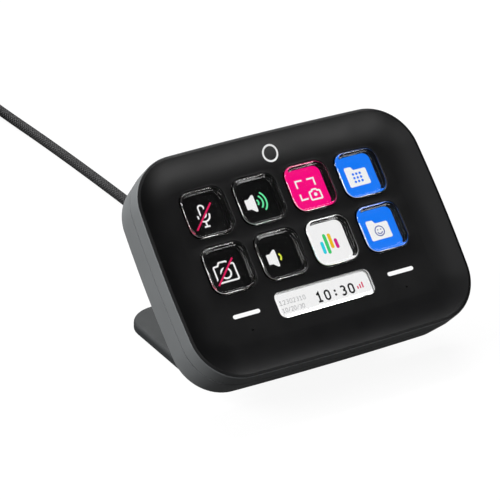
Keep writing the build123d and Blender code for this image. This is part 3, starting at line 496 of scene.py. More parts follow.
def moulded(name, colour, roughness, grain, depth, ior=1.5, specular=0.5, mottle=0.04):
    """Moulded plastic or rubber.

    grain is the size of the mould's spark texture and depth its height, both in millimetres. A noise
    of that size gives the bump; one 40 times coarser gives the faint flow marks in colour and gloss.
    """
    _, tree, coordinates = new_material(name)
    fine = add(tree, "TexNoise", {"Vector": coordinates["Object"], "Scale": 1000 / grain,
                                  "Detail": 2.0, "Roughness": 0.6})
    coarse = add(tree, "TexNoise", {"Vector": coordinates["Object"], "Scale": 25 / grain,
                                    "Detail": 3.0, "Roughness": 0.55})
    shade = add(tree, "MapRange", {"Value": coarse.outputs["Fac"], "From Min": 0.3, "From Max": 0.7,
                                   "To Min": 1 - mottle, "To Max": 1 + mottle})
    tinted = add(tree, "VectorMath", {0: colour[:3], "Scale": shade.outputs["Result"]},
                 operation="SCALE")
    rough = add(tree, "MapRange", {"Value": coarse.outputs["Fac"], "From Min": 0.3, "From Max": 0.7,
                                   "To Min": roughness * 0.93, "To Max": roughness * 1.07})
    bump = add(tree, "Bump", {"Height": fine.outputs["Fac"], "Strength": 0.5,
                              "Distance": depth * MM})
    shader = add(tree, "BsdfPrincipled", {
        "Base Color": tinted.outputs["Vector"], "Roughness": rough.outputs["Result"], "IOR": ior,
        "Specular IOR Level": specular, "Normal": bump.outputs["Normal"]})
    add(tree, "OutputMaterial", {"Surface": shader.outputs["BSDF"]})


def clear_plastic(name, tint, roughness, ior):
    """Polished clear plastic, moulded, with a trace of fine polishing marks in its gloss."""
    _, tree, coordinates = new_material(name)
    # Polishing marks about 1.1 mm long.
    marks = add(tree, "TexNoise", {"Vector": coordinates["Object"], "Scale": 900.0, "Detail": 3.0})
    rough = add(tree, "MapRange", {"Value": marks.outputs["Fac"], "From Min": 0.35, "From Max": 0.7,
                                   "To Min": roughness * 0.4, "To Max": roughness * 1.6})
    shader = add(tree, "BsdfPrincipled", {
        "Base Color": linear(tint), "Roughness": rough.outputs["Result"], "IOR": ior,
        "Transmission Weight": 1.0})
    add(tree, "OutputMaterial", {"Surface": shader.outputs["BSDF"]})


def screen(name, colour, level=1.0):
    """A lit part of a display: its cells show as a grid of faintly darker lines, drawn 0.3 mm apart,
    coarser than the real ones, which are too fine to show."""
    _, tree, coordinates = new_material(name)
    cells = add(tree, "TexBrick", {"Vector": coordinates["Object"], "Scale": 1000.0,
                                   "Color1": (1, 1, 1, 1), "Color2": (1, 1, 1, 1),
                                   "Mortar": (0.93, 0.93, 0.93, 1), "Mortar Size": 0.03,
                                   "Brick Width": 0.3, "Row Height": 0.3}, offset=0.0)
    shown = add(tree, "VectorMath", {0: cells.outputs["Color"], 1: colour[:3]}, operation="MULTIPLY")
    shader = add(tree, "BsdfPrincipled", {
        "Base Color": (0, 0, 0, 1), "Roughness": 0.3, "Specular IOR Level": 0.2,
        "Emission Color": shown.outputs["Vector"], "Emission Strength": level})
    add(tree, "OutputMaterial", {"Surface": shader.outputs["BSDF"]})


def metal(name, colour, roughness, grain):
    """Plated steel with the fine marks, grain in millimetres, that turning or pressing leaves."""
    _, tree, coordinates = new_material(name)
    streaks = add(tree, "TexNoise", {"Vector": coordinates["Object"], "Scale": 1000 / grain,
                                     "Detail": 3.0})
    rough = add(tree, "MapRange", {"Value": streaks.outputs["Fac"], "To Min": roughness * 0.7,
                                   "To Max": roughness * 1.3})
    shader = add(tree, "BsdfPrincipled", {"Base Color": linear(colour), "Metallic": 1.0,
                                          "Roughness": rough.outputs["Result"]})
    add(tree, "OutputMaterial", {"Surface": shader.outputs["BSDF"]})


def braid_material(name, colour):
    """Nylon braid over the lead: two sets of strands that cross at about 45 degrees.

    The UV map runs round the lead (0 to 1) and along it in millimetres. Each set is a sine wave with
    8 strands of 1.5 mm round the lead, which shifts once round over a length of one girth. The sum
    of the two waves is the height: where two strands cross it stands proud in the braid's own colour,
    and the gaps between them are deep and darkened with painted shade, down to 4 percent of it.
    """
    _, tree, coordinates = new_material(name)
    uv = add(tree, "SeparateXYZ", {"Vector": coordinates["UV"]})
    girth, strands = 11.94, 8
    waves = []
    for sign in (1, -1):
        turn = add(tree, "Math", {0: uv.outputs["Y"], 1: sign / girth}, operation="MULTIPLY")
        both = add(tree, "Math", {0: uv.outputs["X"], 1: turn.outputs[0]}, operation="ADD")
        phase = add(tree, "Math", {0: both.outputs[0], 1: strands * 2 * pi}, operation="MULTIPLY")
        waves.append(add(tree, "Math", {0: phase.outputs[0]}, operation="SINE").outputs[0])
    over = add(tree, "Math", {0: waves[0], 1: waves[1]}, operation="ADD")
    height = add(tree, "MapRange", {"Value": over.outputs[0], "From Min": -0.4, "From Max": 1.8})
    # Fibres 0.2 mm thick make each strand uneven.
    fibre = add(tree, "TexNoise", {"Vector": coordinates["Object"], "Scale": 1000 / 0.2,
                                   "Detail": 2.0})
    # Painted shade: the gaps between the strands are darkened to 4 percent of the braid's colour, as if
    # shade lay in them.
    dark = add(tree, "VectorMath", {0: colour[:3], "Scale": 0.04}, operation="SCALE")
    shade = add(tree, "Mix", {"Factor": height.outputs["Result"], "A": dark.outputs["Vector"],
                              "B": colour}, data_type="RGBA")
    worn = add(tree, "MapRange", {"Value": fibre.outputs["Fac"], "From Min": 0.3, "From Max": 0.7,
                                  "To Min": 0.8, "To Max": 1.2})
    # The base colour holds both the fibres' uneven tone and the painted shade in the gaps.
    colours = {0: socket(shade.outputs, "Result"), "Scale": worn.outputs["Result"]}
    fibre_tone_and_gap_shade = add(tree, "VectorMath", colours, operation="SCALE")
    bump = add(tree, "Bump", {"Height": over.outputs[0], "Strength": 0.8, "Distance": 0.12 * MM})
    shader = add(tree, "BsdfPrincipled", {
        "Base Color": fibre_tone_and_gap_shade.outputs["Vector"], "Roughness": 0.6, "Specular IOR Level": 0.2,
        "Normal": bump.outputs["Normal"]})
    add(tree, "OutputMaterial", {"Surface": shader.outputs["BSDF"]})


def materials():
    """Every finish of the object, made once and kept by name."""
    if "face_abs" in bpy.data.materials:
        return bpy.data.materials
    finish = settings("finish")
    # Black ABS, spark-eroded mould: a fine matt grain that greys softly towards the light.
    moulded("face_abs", finish.face, 0.36, 0.22, 0.012, specular=0.28)
    # Grey ABS of the case, the same mould texture: more matt, with an even, soft grey.
    moulded("shell_abs", finish.shell, 0.6, 0.25, 0.012, specular=0.3)
    # Darker grey ABS of the foot: a coarser grain that hardly shines.
    moulded("foot_plastic", finish.foot, 0.7, 0.3, 0.016, specular=0.2)
    # Black ABS of hidden mouldings, unpolished: swallows the light behind the keys.
    moulded("inner_abs", linear("#070708"), 0.7, 0.4, 0.02, specular=0.25)
    # Clear acrylic of the key caps, from a polished mould: bends what lies behind it at the edges,
    # which catch crisp lights.
    clear_plastic("key_acrylic", "#ffffff", 0.02, 1.49)
    # Clear acrylic of the strip's window, the same but a little less polished.
    clear_plastic("window_acrylic", "#ffffff", 0.03, 1.49)
    # Black silicone of the pushers and the sheet, moulded: matt and slightly waxy.
    moulded("silicone", linear("#060607"), 0.7, 0.6, 0.02, ior=1.41, specular=0.25)
    # Rubber of pad, strain relief and plug, moulded: dark grey with a dull, grainy shine.
    moulded("rubber", linear("#19191a"), 0.62, 0.5, 0.03, ior=1.52)
    # Circuit board under green solder mask, printed: glossy and cloudy where copper lies beneath.
    moulded("solder_mask", linear("#0d3b22"), 0.35, 1.2, 0.03, mottle=0.15)
    # Epoxy of the chips, moulded: fine matt black.
    moulded("chip_epoxy", linear("#18181a"), 0.5, 0.3, 0.02)
    # Nylon of the socket, moulded: warm cream with a soft shine.
    moulded("socket_nylon", linear("#d8d0bc"), 0.5, 0.5, 0.01)
    # Polyimide of the ribbons, cast film: amber and glossy.
    moulded("ribbon_polyimide", linear("#8a4c10"), 0.25, 1.0, 0.01)
    # Polyester contact film, printed black: a half-matt skin.
    moulded("printed_film", linear("#0b0b0c"), 0.5, 1.0, 0.01)
    # Acrylic light guide, diffused: milky white.
    moulded("light_guide", linear("#e8e8e8"), 0.3, 1.0, 0.01)
    # Ceramic of the small lamps, fired: pale yellow.
    moulded("lamp_ceramic", linear("#e6e2b8"), 0.4, 0.3, 0.01)
    # Glass of the display panel, float: dark and smooth.
    moulded("panel_glass", linear("#040405"), 0.12, 2.0, 0.001)
    # Steel of the screws, turned and blacked: dark, with a soft metallic shine.
    metal("black_steel", "#5a5a5c", 0.35, 0.4)
    # Steel of the ballast, pressed and zinc-plated: dull grey.
    metal("zinc_steel", "#a8a8aa", 0.4, 0.8)
    # Steel of the plug's shell, drawn and nickel-plated: brighter, with fine marks.
    metal("nickel_steel", "#c8c8ca", 0.25, 0.5)
    # Nylon tongue of the plug, moulded: pale grey with a soft shine.
    moulded("plug_nylon", linear("#d0d0d4"), 0.35, 0.5, 0.01)
    # Nylon braid, woven: dark strands, with painted shade darkening the gaps between them so the
    # crossings show lighter.
    braid_material("nylon_braid", finish.braid)
    # White ink of the mark, screen-printed: flat and even.
    moulded("mark_ink", linear("#f2f2f2"), 0.5, 0.3, 0.004)
    # White polycarbonate of the touch bars, moulded and lit from behind: glows evenly.
    screen("bar_light", linear("#ffffff"))
    # The display's colours, liquid crystal under glass: each glows evenly, black hardly at all.
    screen("screen_black", linear("#060607"), 0.5)
    screen("screen_white", finish.white)
    screen("screen_pink", finish.pink)
    screen("screen_blue", finish.blue)
    for name, code in {"deep_blue": "#0a3ca0", "mint": "#6ef0aa", "yellow": "#e6f04b",
                       "crimson": "#d81b5b", "cyan": "#28d2e6", "green": "#3ccf6e", "gold": "#f5c018",
                       "magenta": "#d8148c", "ink": "#08080a", "grey": "#b4b4b6"}.items():
        screen("screen_" + name, linear(code))
    return bpy.data.materials


def coat(finishes):
    """Gives the CAD nodes that stay as they are their finish."""
    for finish, names in finishes.items():
        for name in names:
            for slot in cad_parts[name].material_slots:
                slot.material = materials()[finish]


# ---- stage ----
# Lamps: name, power in watts, place and size in metres. The left one lights the ring's side, the
# back one the caps' and the foot's top edges, the front one the top of the dish, and the last one,
# overhead, the flat middle.
LAMPS = (("softbox_left", 31.0, (-0.95, 0.15, 0.7), (0.9, 0.5)),
         ("softbox_back", 24.0, (0.2, 0.72, 0.85), (1.0, 0.55)),
         ("softbox_front", 2.7, (0.5, -0.8, 0.52), (0.6, 0.35)),
         ("softbox_over", 1.2, (-0.05, -0.72, 0.8), (0.4, 0.4)))
LAMP_AIM = (0, 0, 0.04)
CAMERA_PLACE = (-0.44927, -0.71692, 0.46698)
CAMERA_FORWARD = (0.46139, 0.76115, -0.45582)
CAMERA_RIGHT = (0.85707, -0.51514, 0.00733)
CAMERA_LENS, CAMERA_SENSOR = 208.41, 36.0
FLOOR_HALF = 3
# The floor's own light for the camera and through clear plastic, and the share of it in reflections.
FLOOR_LIFT, FLOOR_GLOSS = 0.92, 0.12


def add_lamp(name, watts, place_at, size):
    """A rectangular lamp at a place, facing the key panel."""
    data = bpy.data.lights.new(name, "AREA")
    data.shape, data.energy = "RECTANGLE", watts
    data.size, data.size_y = size
    obj = bpy.data.objects.new(name, data)
    bpy.context.scene.collection.objects.link(obj)
    obj.location = place_at
    facing = Vector(LAMP_AIM) - Vector(place_at)
    obj.rotation_euler = facing.to_track_quat("-Z", "Y").to_euler()


def add_floor():
    """A large plain sheet. It lights itself nearly white for the camera and for rays through clear
    plastic, and a little for reflections, but casts none of that light on the object."""
    corners = [(x * FLOOR_HALF, y * FLOOR_HALF, 0) for x, y in ((-1, -1), (1, -1), (1, 1), (-1, 1))]
    mesh = bpy.data.meshes.new("floor")
    mesh.from_pydata(corners, [], [(0, 1, 2, 3)])
    floor = bpy.data.objects.new("floor", mesh)
    bpy.context.scene.collection.objects.link(floor)
    material, tree, coordinates = new_material("floor_paint")
    path = add(tree, "LightPath").outputs
    gloss = add(tree, "Math", {0: path["Is Glossy Ray"], 1: FLOOR_GLOSS}, operation="MULTIPLY")
    seen = add(tree, "Math", {0: path["Is Camera Ray"], 1: gloss.outputs[0]}, operation="MAXIMUM")
    seen = add(tree, "Math", {0: seen.outputs[0], 1: path["Is Transmission Ray"]}, operation="MAXIMUM")
    cloud = add(tree, "TexNoise", {"Vector": coordinates["Object"], "Scale": 6.0})
    rough = add(tree, "MapRange", {"Value": cloud.outputs["Fac"], "To Min": 0.85, "To Max": 0.95})
    lift = add(tree, "Math", {0: seen.outputs[0], 1: FLOOR_LIFT}, operation="MULTIPLY")
    shader = add(tree, "BsdfPrincipled", {
        "Base Color": settings("finish").floor, "Roughness": rough.outputs["Result"],
        "Specular IOR Level": 0.1, "Emission Color": (1, 1, 1, 1),
        "Emission Strength": lift.outputs[0]})
    add(tree, "OutputMaterial", {"Surface": shader.outputs["BSDF"]})
    mesh.materials.append(material)


def add_studio():
    """A dim world that is lighter overhead to the left and back, so that the dish shades softly:
    its strength follows the cosine between a direction and the lightest one."""
    world = bpy.data.worlds.new("studio")
    bpy.context.scene.world = world
    world.use_nodes = True
    tree = world.node_tree
    tree.nodes.clear()
    coordinates = add(tree, "TexCoord").outputs
    lightest = (-0.5, 0.3, 0.81)
    toward = add(tree, "VectorMath", {0: coordinates["Generated"], 1: lightest},
                 operation="DOT_PRODUCT")
    glow = add(tree, "MapRange", {"Value": toward.outputs["Value"], "From Min": 0.5, "From Max": 1.0,
                                  "To Min": 0.03, "To Max": 0.45}, interpolation_type="SMOOTHSTEP")
    background = add(tree, "Background", {"Color": (1, 1, 1, 1),
                                          "Strength": glow.outputs["Result"]})
    add(tree, "OutputWorld", {"Surface": background.outputs["Background"]})


def add_camera():
    """The camera, turned so that its axes are right, up and backward."""
    camera = bpy.data.cameras.new("camera")
    camera.sensor_width, camera.lens = CAMERA_SENSOR, CAMERA_LENS
    camera.clip_start, camera.clip_end = 0.05, 20.0
    obj = bpy.data.objects.new("camera", camera)
    bpy.context.scene.collection.objects.link(obj)
    forward, right = Vector(CAMERA_FORWARD).normalized(), Vector(CAMERA_RIGHT)
    right = (right - forward * right.dot(forward)).normalized()
    axes = Matrix((right, right.cross(forward), -forward)).transposed().to_4x4()
    obj.matrix_world = Matrix.Translation(CAMERA_PLACE) @ axes
    bpy.context.scene.camera = obj


class KEYPANEL_OT_stage(bpy.types.Operator):
    """Adds the pale floor, the studio light and the camera"""
    bl_idname = "key_panel.stage"
    bl_label = "Stage"

    def execute(self, context):
        context.scene.view_settings.view_transform = "Standard"
        add_floor()
        add_studio()
        for lamp in LAMPS:
            add_lamp(*lamp)
        add_camera()
        return {"FINISHED"}


# ---- lead ----
def lead_route():
    """The lead's control points: out of the gland, down to the desk and back along it, round the
    coil's turns and up to the plug. A turn is 16 points on a circle, drawn 1 / 0.981 larger, because
    the spline runs that much inside them; each layer winds in or out, then climbs a diameter over an
    eighth of a turn."""
    lead, case = settings("lead"), settings("case")
    d = lead.diameter
    clear, straight = 0.05, 12
    start = to_world([0, lead.gland_y, -case.depth - lead.gland_length])
    floor = d / 2 + clear
    out = [start, start + straight * np.array([0, sin(case.tilt), -cos(case.tilt)]),
           (0.6, 40, 9.6), (1.9, 64, 3.6), (2.9, 92, floor), (2.4, 130, floor), (1.0, 172, floor),
           (-1.2, 208, floor), (-2.0, 235, floor)]
    # Coil: where each point is in its layer, how far the layer has wound and how far it has climbed.
    a_turn, drawn_in, climb_turn = 16, 0.981, 0.125
    layer_turns = lead.turns / lead.layers
    band = layer_turns * d
    outer = lead.coil_radius + band / 2
    cx, cy = out[-1][0] - outer, out[-1][1]
    share = np.arange(1, int(lead.turns * a_turn)) / a_turn
    layer = share / layer_turns
    within = layer % 1
    climb = climb_turn / layer_turns
    wound = np.clip(within / (1 - climb), 0, 1)
    risen = np.clip((within - (1 - climb)) / climb, 0, 1) * (layer < lead.layers - climb)
    number = np.floor(layer)
    radius = (outer - band * np.where(number % 2 == 0, wound, 1 - wound)) / drawn_in
    turn = share * 2 * pi
    coil = np.stack((cx + radius * np.cos(turn), cy + radius * np.sin(turn),
                     floor + d * (number + risen)), -1)
    # Tail: off the top layer and over the coil into the plug, which lies on it.
    plug_half, plug_reach, heading = 3.9, 9, radians(285)
    top = clear + lead.layers * d
    plug_z = top + clear + plug_half
    px, py = cx - 20, cy + outer - 14.4
    tail = [(cx, cy + outer, top - d / 2), (cx - 9, cy + outer, top - 0.7),
            (cx - 16.8, cy + outer - 5.4, top + 1.8), (px, py, plug_z),
            (px + plug_reach * cos(heading), py + plug_reach * sin(heading), plug_z)]
    return np.concatenate((np.array(out), coil, np.array(tail))), start


def spline_points(route):
    """Points in millimetres read from the route's spline, 12 to each of its spans."""
    curve = bpy.data.curves.new("lead_route", "CURVE")
    curve.dimensions = "3D"
    spline = curve.splines.new("NURBS")
    spline.points.add(len(route) - 1)
    spline.points.foreach_set("co", np.column_stack((route * MM, np.ones(len(route)))).ravel())
    spline.order_u = 3
    spline.use_endpoint_u = True
    spline.resolution_u = 12
    obj = bpy.data.objects.new("lead_route", curve)
    bpy.context.scene.collection.objects.link(obj)
    bpy.context.view_layer.update()
    shown = obj.evaluated_get(bpy.context.evaluated_depsgraph_get())
    mesh = bpy.data.meshes.new_from_object(shown)
    points = np.empty(len(mesh.vertices) * 3)
    mesh.vertices.foreach_get("co", points)
    bpy.data.objects.remove(obj)
    bpy.data.meshes.remove(mesh)
    return points.reshape(-1, 3) / MM


def tube(path, radius, sides=20):
    """A round tube along a path: each ring is centre + radius (cos a side + sin a up), where side and
    up are square to the path and carried along it without twist."""
    step = np.gradient(path, axis=0)
    along = step / np.linalg.norm(step, axis=1, keepdims=True)
    side = np.cross(along, [0, 0, 1.0])
    small = np.linalg.norm(side, axis=1, keepdims=True) < 1e-6
    side = np.where(small, [1.0, 0, 0], side)
    side /= np.linalg.norm(side, axis=1, keepdims=True)
    up = np.cross(side, along)
    a = np.linspace(0, 2 * pi, sides, endpoint=False)[None, :, None]
    return path[:, None] + radius * (np.cos(a) * side[:, None] + np.sin(a) * up[:, None])


def lead_mesh(path, radius):
    """The tube's mesh with closed ends. Its UV map holds, for each corner of a face, the share of the
    way round and the distance along the path in millimetres."""
    rings = tube(path, radius)
    n, m = rings.shape[:2]
    index = np.arange(n * m).reshape(n, m)
    index = np.concatenate((index, index[:, :1]), 1)
    run = np.concatenate(([0], np.cumsum(np.linalg.norm(np.diff(path, axis=0), axis=1))))
    u = np.linspace(0, 1, m + 1)
    along = np.stack(np.broadcast_arrays(u[None, :], run[:, None]), -1)

    def around(grid):
        """The four corners of each cell of a grid, in order."""
        return np.stack((grid[:-1, :-1], grid[:-1, 1:], grid[1:, 1:], grid[1:, :-1]), 2)

    faces = around(index).reshape(-1, 4).tolist()
    faces += [index[0, :-1].tolist(), index[-1, :-1][::-1].tolist()]
    corners = around(along).reshape(-1, 2)
    mesh = bpy.data.meshes.new("lead")
    mesh.from_pydata((rings.reshape(-1, 3) * MM).tolist(), [], faces)
    uv = mesh.uv_layers.new(name="UVMap")
    uv.data.foreach_set("uv", np.concatenate((corners, along[0, :-1], along[-1, :-1][::-1])).ravel())
    bm = bmesh.new()
    bm.from_mesh(mesh)
    bmesh.ops.recalc_face_normals(bm, faces=bm.faces)
    bm.to_mesh(mesh)
    bm.free()
    mesh.shade_smooth()
    mesh.set_sharp_from_angle(angle=radians(60))
    mesh.materials.append(materials()["nylon_braid"])
    return mesh


class KEYPANEL_OT_lead(bpy.types.Operator):
    """Adds the braided lead with its coil, strain relief and plug"""
    bl_idname = "key_panel.lead"
    bl_label = "Lead"

    def execute(self, context):
        lead, case = settings("lead"), settings("case")
        route, start = lead_route()
        path = spline_points(route)
        mesh = lead_mesh(path, lead.diameter / 2)
        obj = place("lead", mesh, "body", ["cord_lead", "cord_coil", "cord_tail"])
        coat({"rubber": ["plug_body"], "nickel_steel": ["plug_shell"], "plug_nylon": ["plug_tongue"]})
        # Strain relief, as (radius, height): a collar inside the case, a flange behind it, and a
        # neck whose taper is cut by grooves, the root of a sine's upper half.
        back, low = -case.depth, -case.depth - lead.gland_length
        thin, thick, groove, groove_step = 2.6, 3.5, 0.28, 2.1
        z = np.linspace(back - 1.3, low + 0.3, 60)
        cut = groove * np.clip(np.sin((z - low) * 2 * pi / groove_step), 0, 1) ** 0.5
        taper = np.interp(z, [low, back], [thin, thick]) - cut
        profile = np.concatenate((
            [(0, back + 3.0), (4.4, back + 3.0), (4.4, back + 1.8), (thick, back + 1.8), (thick, back),
             (4.6, back), (4.8, back - 0.2), (4.8, back - 0.8), (4.5, back - 1.1), (3.7, back - 1.1)],
            np.column_stack((taper, z)), [(2.5, low), (lead.diameter / 2 + 0.02, low), (0, low)]))
        skin = Skin()
        skin.grid(turned(profile) + [0, lead.gland_y, 0], wrap_u=True)
        skin.piece("strain_relief", ["rubber"], replaces=["cord_gland"], slot="gland_rubber", crisp=50)
        return {"FINISHED"}


# ---- case ----
def face_slots():
    """The strip's and the touch bars' openings, as (width, height, corner radius, middle)."""
    strip = settings("strip")
    bar_y = strip.middle + strip.bar_rise
    slots = [(strip.width, strip.height, strip.corner, (0, strip.middle))]
    return slots + [(strip.bar_length, strip.bar_width, strip.bar_width / 2 - 0.01,
                     (side * strip.bar_x, bar_y)) for side in (-1, 1)]


class KEYPANEL_OT_face(bpy.types.Operator):
    """Adds the dished black face with its openings"""
    bl_idname = "key_panel.face"
    bl_label = "Face"

    def execute(self, context):
        case, keys, strip = settings("case"), settings("keys"), settings("strip")
        crest = case.lip + case.rim_width
        flat_u = crest + case.dish_width
        top, under = -case.dish_depth, -case.dish_depth - case.face_thick
        skin = Skin()
        # Rim and dish, as (inset, z): the slope up to the rounded crest, then the hollow arc nearly
        # down to the flat. Of the softened line only the part up to the crest is kept.
        dish_u = np.concatenate(([crest + 0.18], np.linspace(crest + 0.35, flat_u - 1.7, 28)))
        beyond = crest + 0.6
        rim = soften([(case.lip, case.rim_edge, 0), (crest, case.rim_rise, 0.22),
                      (beyond, float(dish_height(beyond)), 0), (crest, -5, 0)], 5, 0.03)
        rim = rim[(rim[:, 0] < crest + 0.16) & (rim[:, 1] > 0)]
        arc = np.column_stack((dish_u, dish_height(dish_u)))
        skin.grid(round_the_case(np.concatenate((rim, arc))), wrap_u=True)
        # Underside: out from the flat to the ledge, then up the edge.
        shelf = np.array([(flat_u, under), (case.ledge_width + 9.4, under),
                          (case.ledge_width, -case.ledge), (case.lip, -case.ledge),
                          (case.lip, case.rim_edge)])
        skin.grid(round_the_case(shelf), wrap_u=True)
        # Key openings: a rounded edge, whose height follows the dish, over a straight wall.
        holes_top, holes_low = [], []
        quarter = np.linspace(0, pi / 2, 5)
        b = keys.opening_break
        insets = np.concatenate((-b * (1 - np.sin(quarter)), [0, 0]))
        z = np.concatenate((-b * (1 - np.cos(quarter)), [-2 * b, under - top]))
        on_edge = z[:, None] >= -3 * b
        for middle in key_places():
            rings = rounded_rings(keys.opening, keys.opening, keys.opening_round, insets, middle=middle)
            level = np.where(on_edge, dish_at(rings[..., 0], rings[..., 1]), top)
            points = raised(rings, level + z[:, None])
            skin.grid(points, wrap_v=True)
            holes_top.append(points[0])
            holes_low.append(points[-1])
        # Openings of the strip and the bars: a fine edge break over a straight wall.
        fine = 0.06
        for width, height, radius, middle in face_slots():
            rings = rounded_rings(width, height, radius, [-fine, 0, 0], 6, middle)
            points = raised(rings, [top, top - fine, under])
            skin.grid(points, wrap_v=True)
            holes_top.append(points[0])
            holes_low.append(points[-1])
        # Sensing dots: blind round holes below the bars.
        dot_y = strip.middle + strip.bar_rise - strip.dot_drop
        for side in (-1, 1):
            ring = (side * strip.bar_x, dot_y) + strip.dot_radius * circle(20)
            points = raised(np.stack((ring, ring)), [top, top - strip.dot_depth])
            skin.grid(points, wrap_v=True)
            skin.fan(points[1], points[1].mean(0))
            holes_top.append(points[0])

        def sheet_height(x, y):
            """The dish's height over the keys, and beyond an oval round them the arc's last height."""
            outside = np.hypot(x / 40, y / 28) > 1.2
            return np.where(outside, dish_height(dish_u[-1]), dish_at(x, y))

        ends = round_the_case(np.array([(dish_u[-1], top), (flat_u, under)]))
        skin.flat(ends[:, 0], holes_top, sheet_height)
        skin.flat(ends[:, 1], holes_low, under)
        skin.piece("dished_face", ["face_abs"], replaces=["faceplate"], slot="black_abs", crisp=30)
        return {"FINISHED"}


class KEYPANEL_OT_shells(bpy.types.Operator):
    """Adds the front ring and the rear shell"""
    bl_idname = "key_panel.shells"
    bl_label = "Shells"

    def execute(self, context):
        case, lead = settings("case"), settings("lead")
        # Front ring, as (inset, z): outer wall, rounded edge, lip, ledge and the ledge's underside.
        seam, ledge = -case.seam_depth + case.seam_gap, -case.ledge
        ring = soften([(case.seam_break, seam, 0.05), (0, seam + case.seam_break, 0.05),
                       (0, 0, case.edge_round), (case.lip, 0, 0.02), (case.lip, ledge, 0),
                       (case.ledge_width, ledge, 0), (case.ledge_width, ledge - case.wall, 0),
                       (case.wall, ledge - case.wall, 0), (case.wall, seam, 0.05)], 5, 0.05)
        skin = Skin()
        skin.grid(round_the_case(ring), wrap_u=True, wrap_v=True)
        skin.piece("front_ring", ["shell_abs"], replaces=["front_housing"], slot="grey_abs", crisp=40)

        # Rear shell, as (inset, z): inner wall to the flat inside, and back from the flat outside.
        seam -= 2 * case.seam_gap
        back, inner = -case.depth, -case.depth + case.wall
        flat = case.taper + case.back_round + case.boss_inset
        slope = case.taper / (case.depth - case.seam_depth)
        wall_foot = case.wall + slope * (case.depth - case.wall - case.seam_depth)
        profile = soften([(case.seam_break, seam, 0.05), (case.wall, seam, 0.05),
                          (wall_foot, inner, 0), (flat, inner, 0), (flat, back, 0),
                          (case.taper, back, case.back_round),
                          (0, seam - case.seam_break, 0.05)], 7, 0.1)
        # The line starts and ends at the flats, which are sheets with holes of their own.
        at_back = np.abs(profile - (flat, back)).max(1) < 1e-3
        skin = Skin()
        skin.grid(round_the_case(np.roll(profile, -int(np.argmax(at_back)), 0)), wrap_u=True)
        # Wells of the case screws, as (radius, z), and the hole for the strain relief's neck.
        *_, (cx, cy) = outline_path()
        reach = (case.corner - case.boss_inset) * cos(radians(45))
        round_40, neck_radius = circle(40), 3.6
        holes = []
        for sx, sy in ((1, 1), (-1, 1), (-1, -1), (1, -1)):
            middle = np.array([sx * (cx + reach), sy * (cy + reach)])
            radii, z = (2.62, 2.5, 2.5), (back, back + 0.12, inner - 0.05)
            well = raised(np.stack([middle + r * round_40 for r in radii]), z)
            skin.grid(well, wrap_v=True)
            skin.fan(well[-1], well[-1].mean(0))
            holes.append(well[0])
        ring = np.array([0, lead.gland_y]) + neck_radius * round_40
        neck = raised(np.stack((ring, ring)), (back, inner))
        skin.grid(neck, wrap_v=True)
        edges = round_the_case(np.array([(flat, back), (flat, inner)]))
        skin.flat(edges[:, 0], holes + [neck[0]], back)
        skin.flat(edges[:, 1], [neck[1]], inner)
        skin.piece("rear_shell", ["shell_abs"], replaces=["rear_housing"], slot="grey_abs", crisp=40)
        coat({"black_steel": ["case_screws", "board_screws", "stand_screws"]})
        return {"FINISHED"}


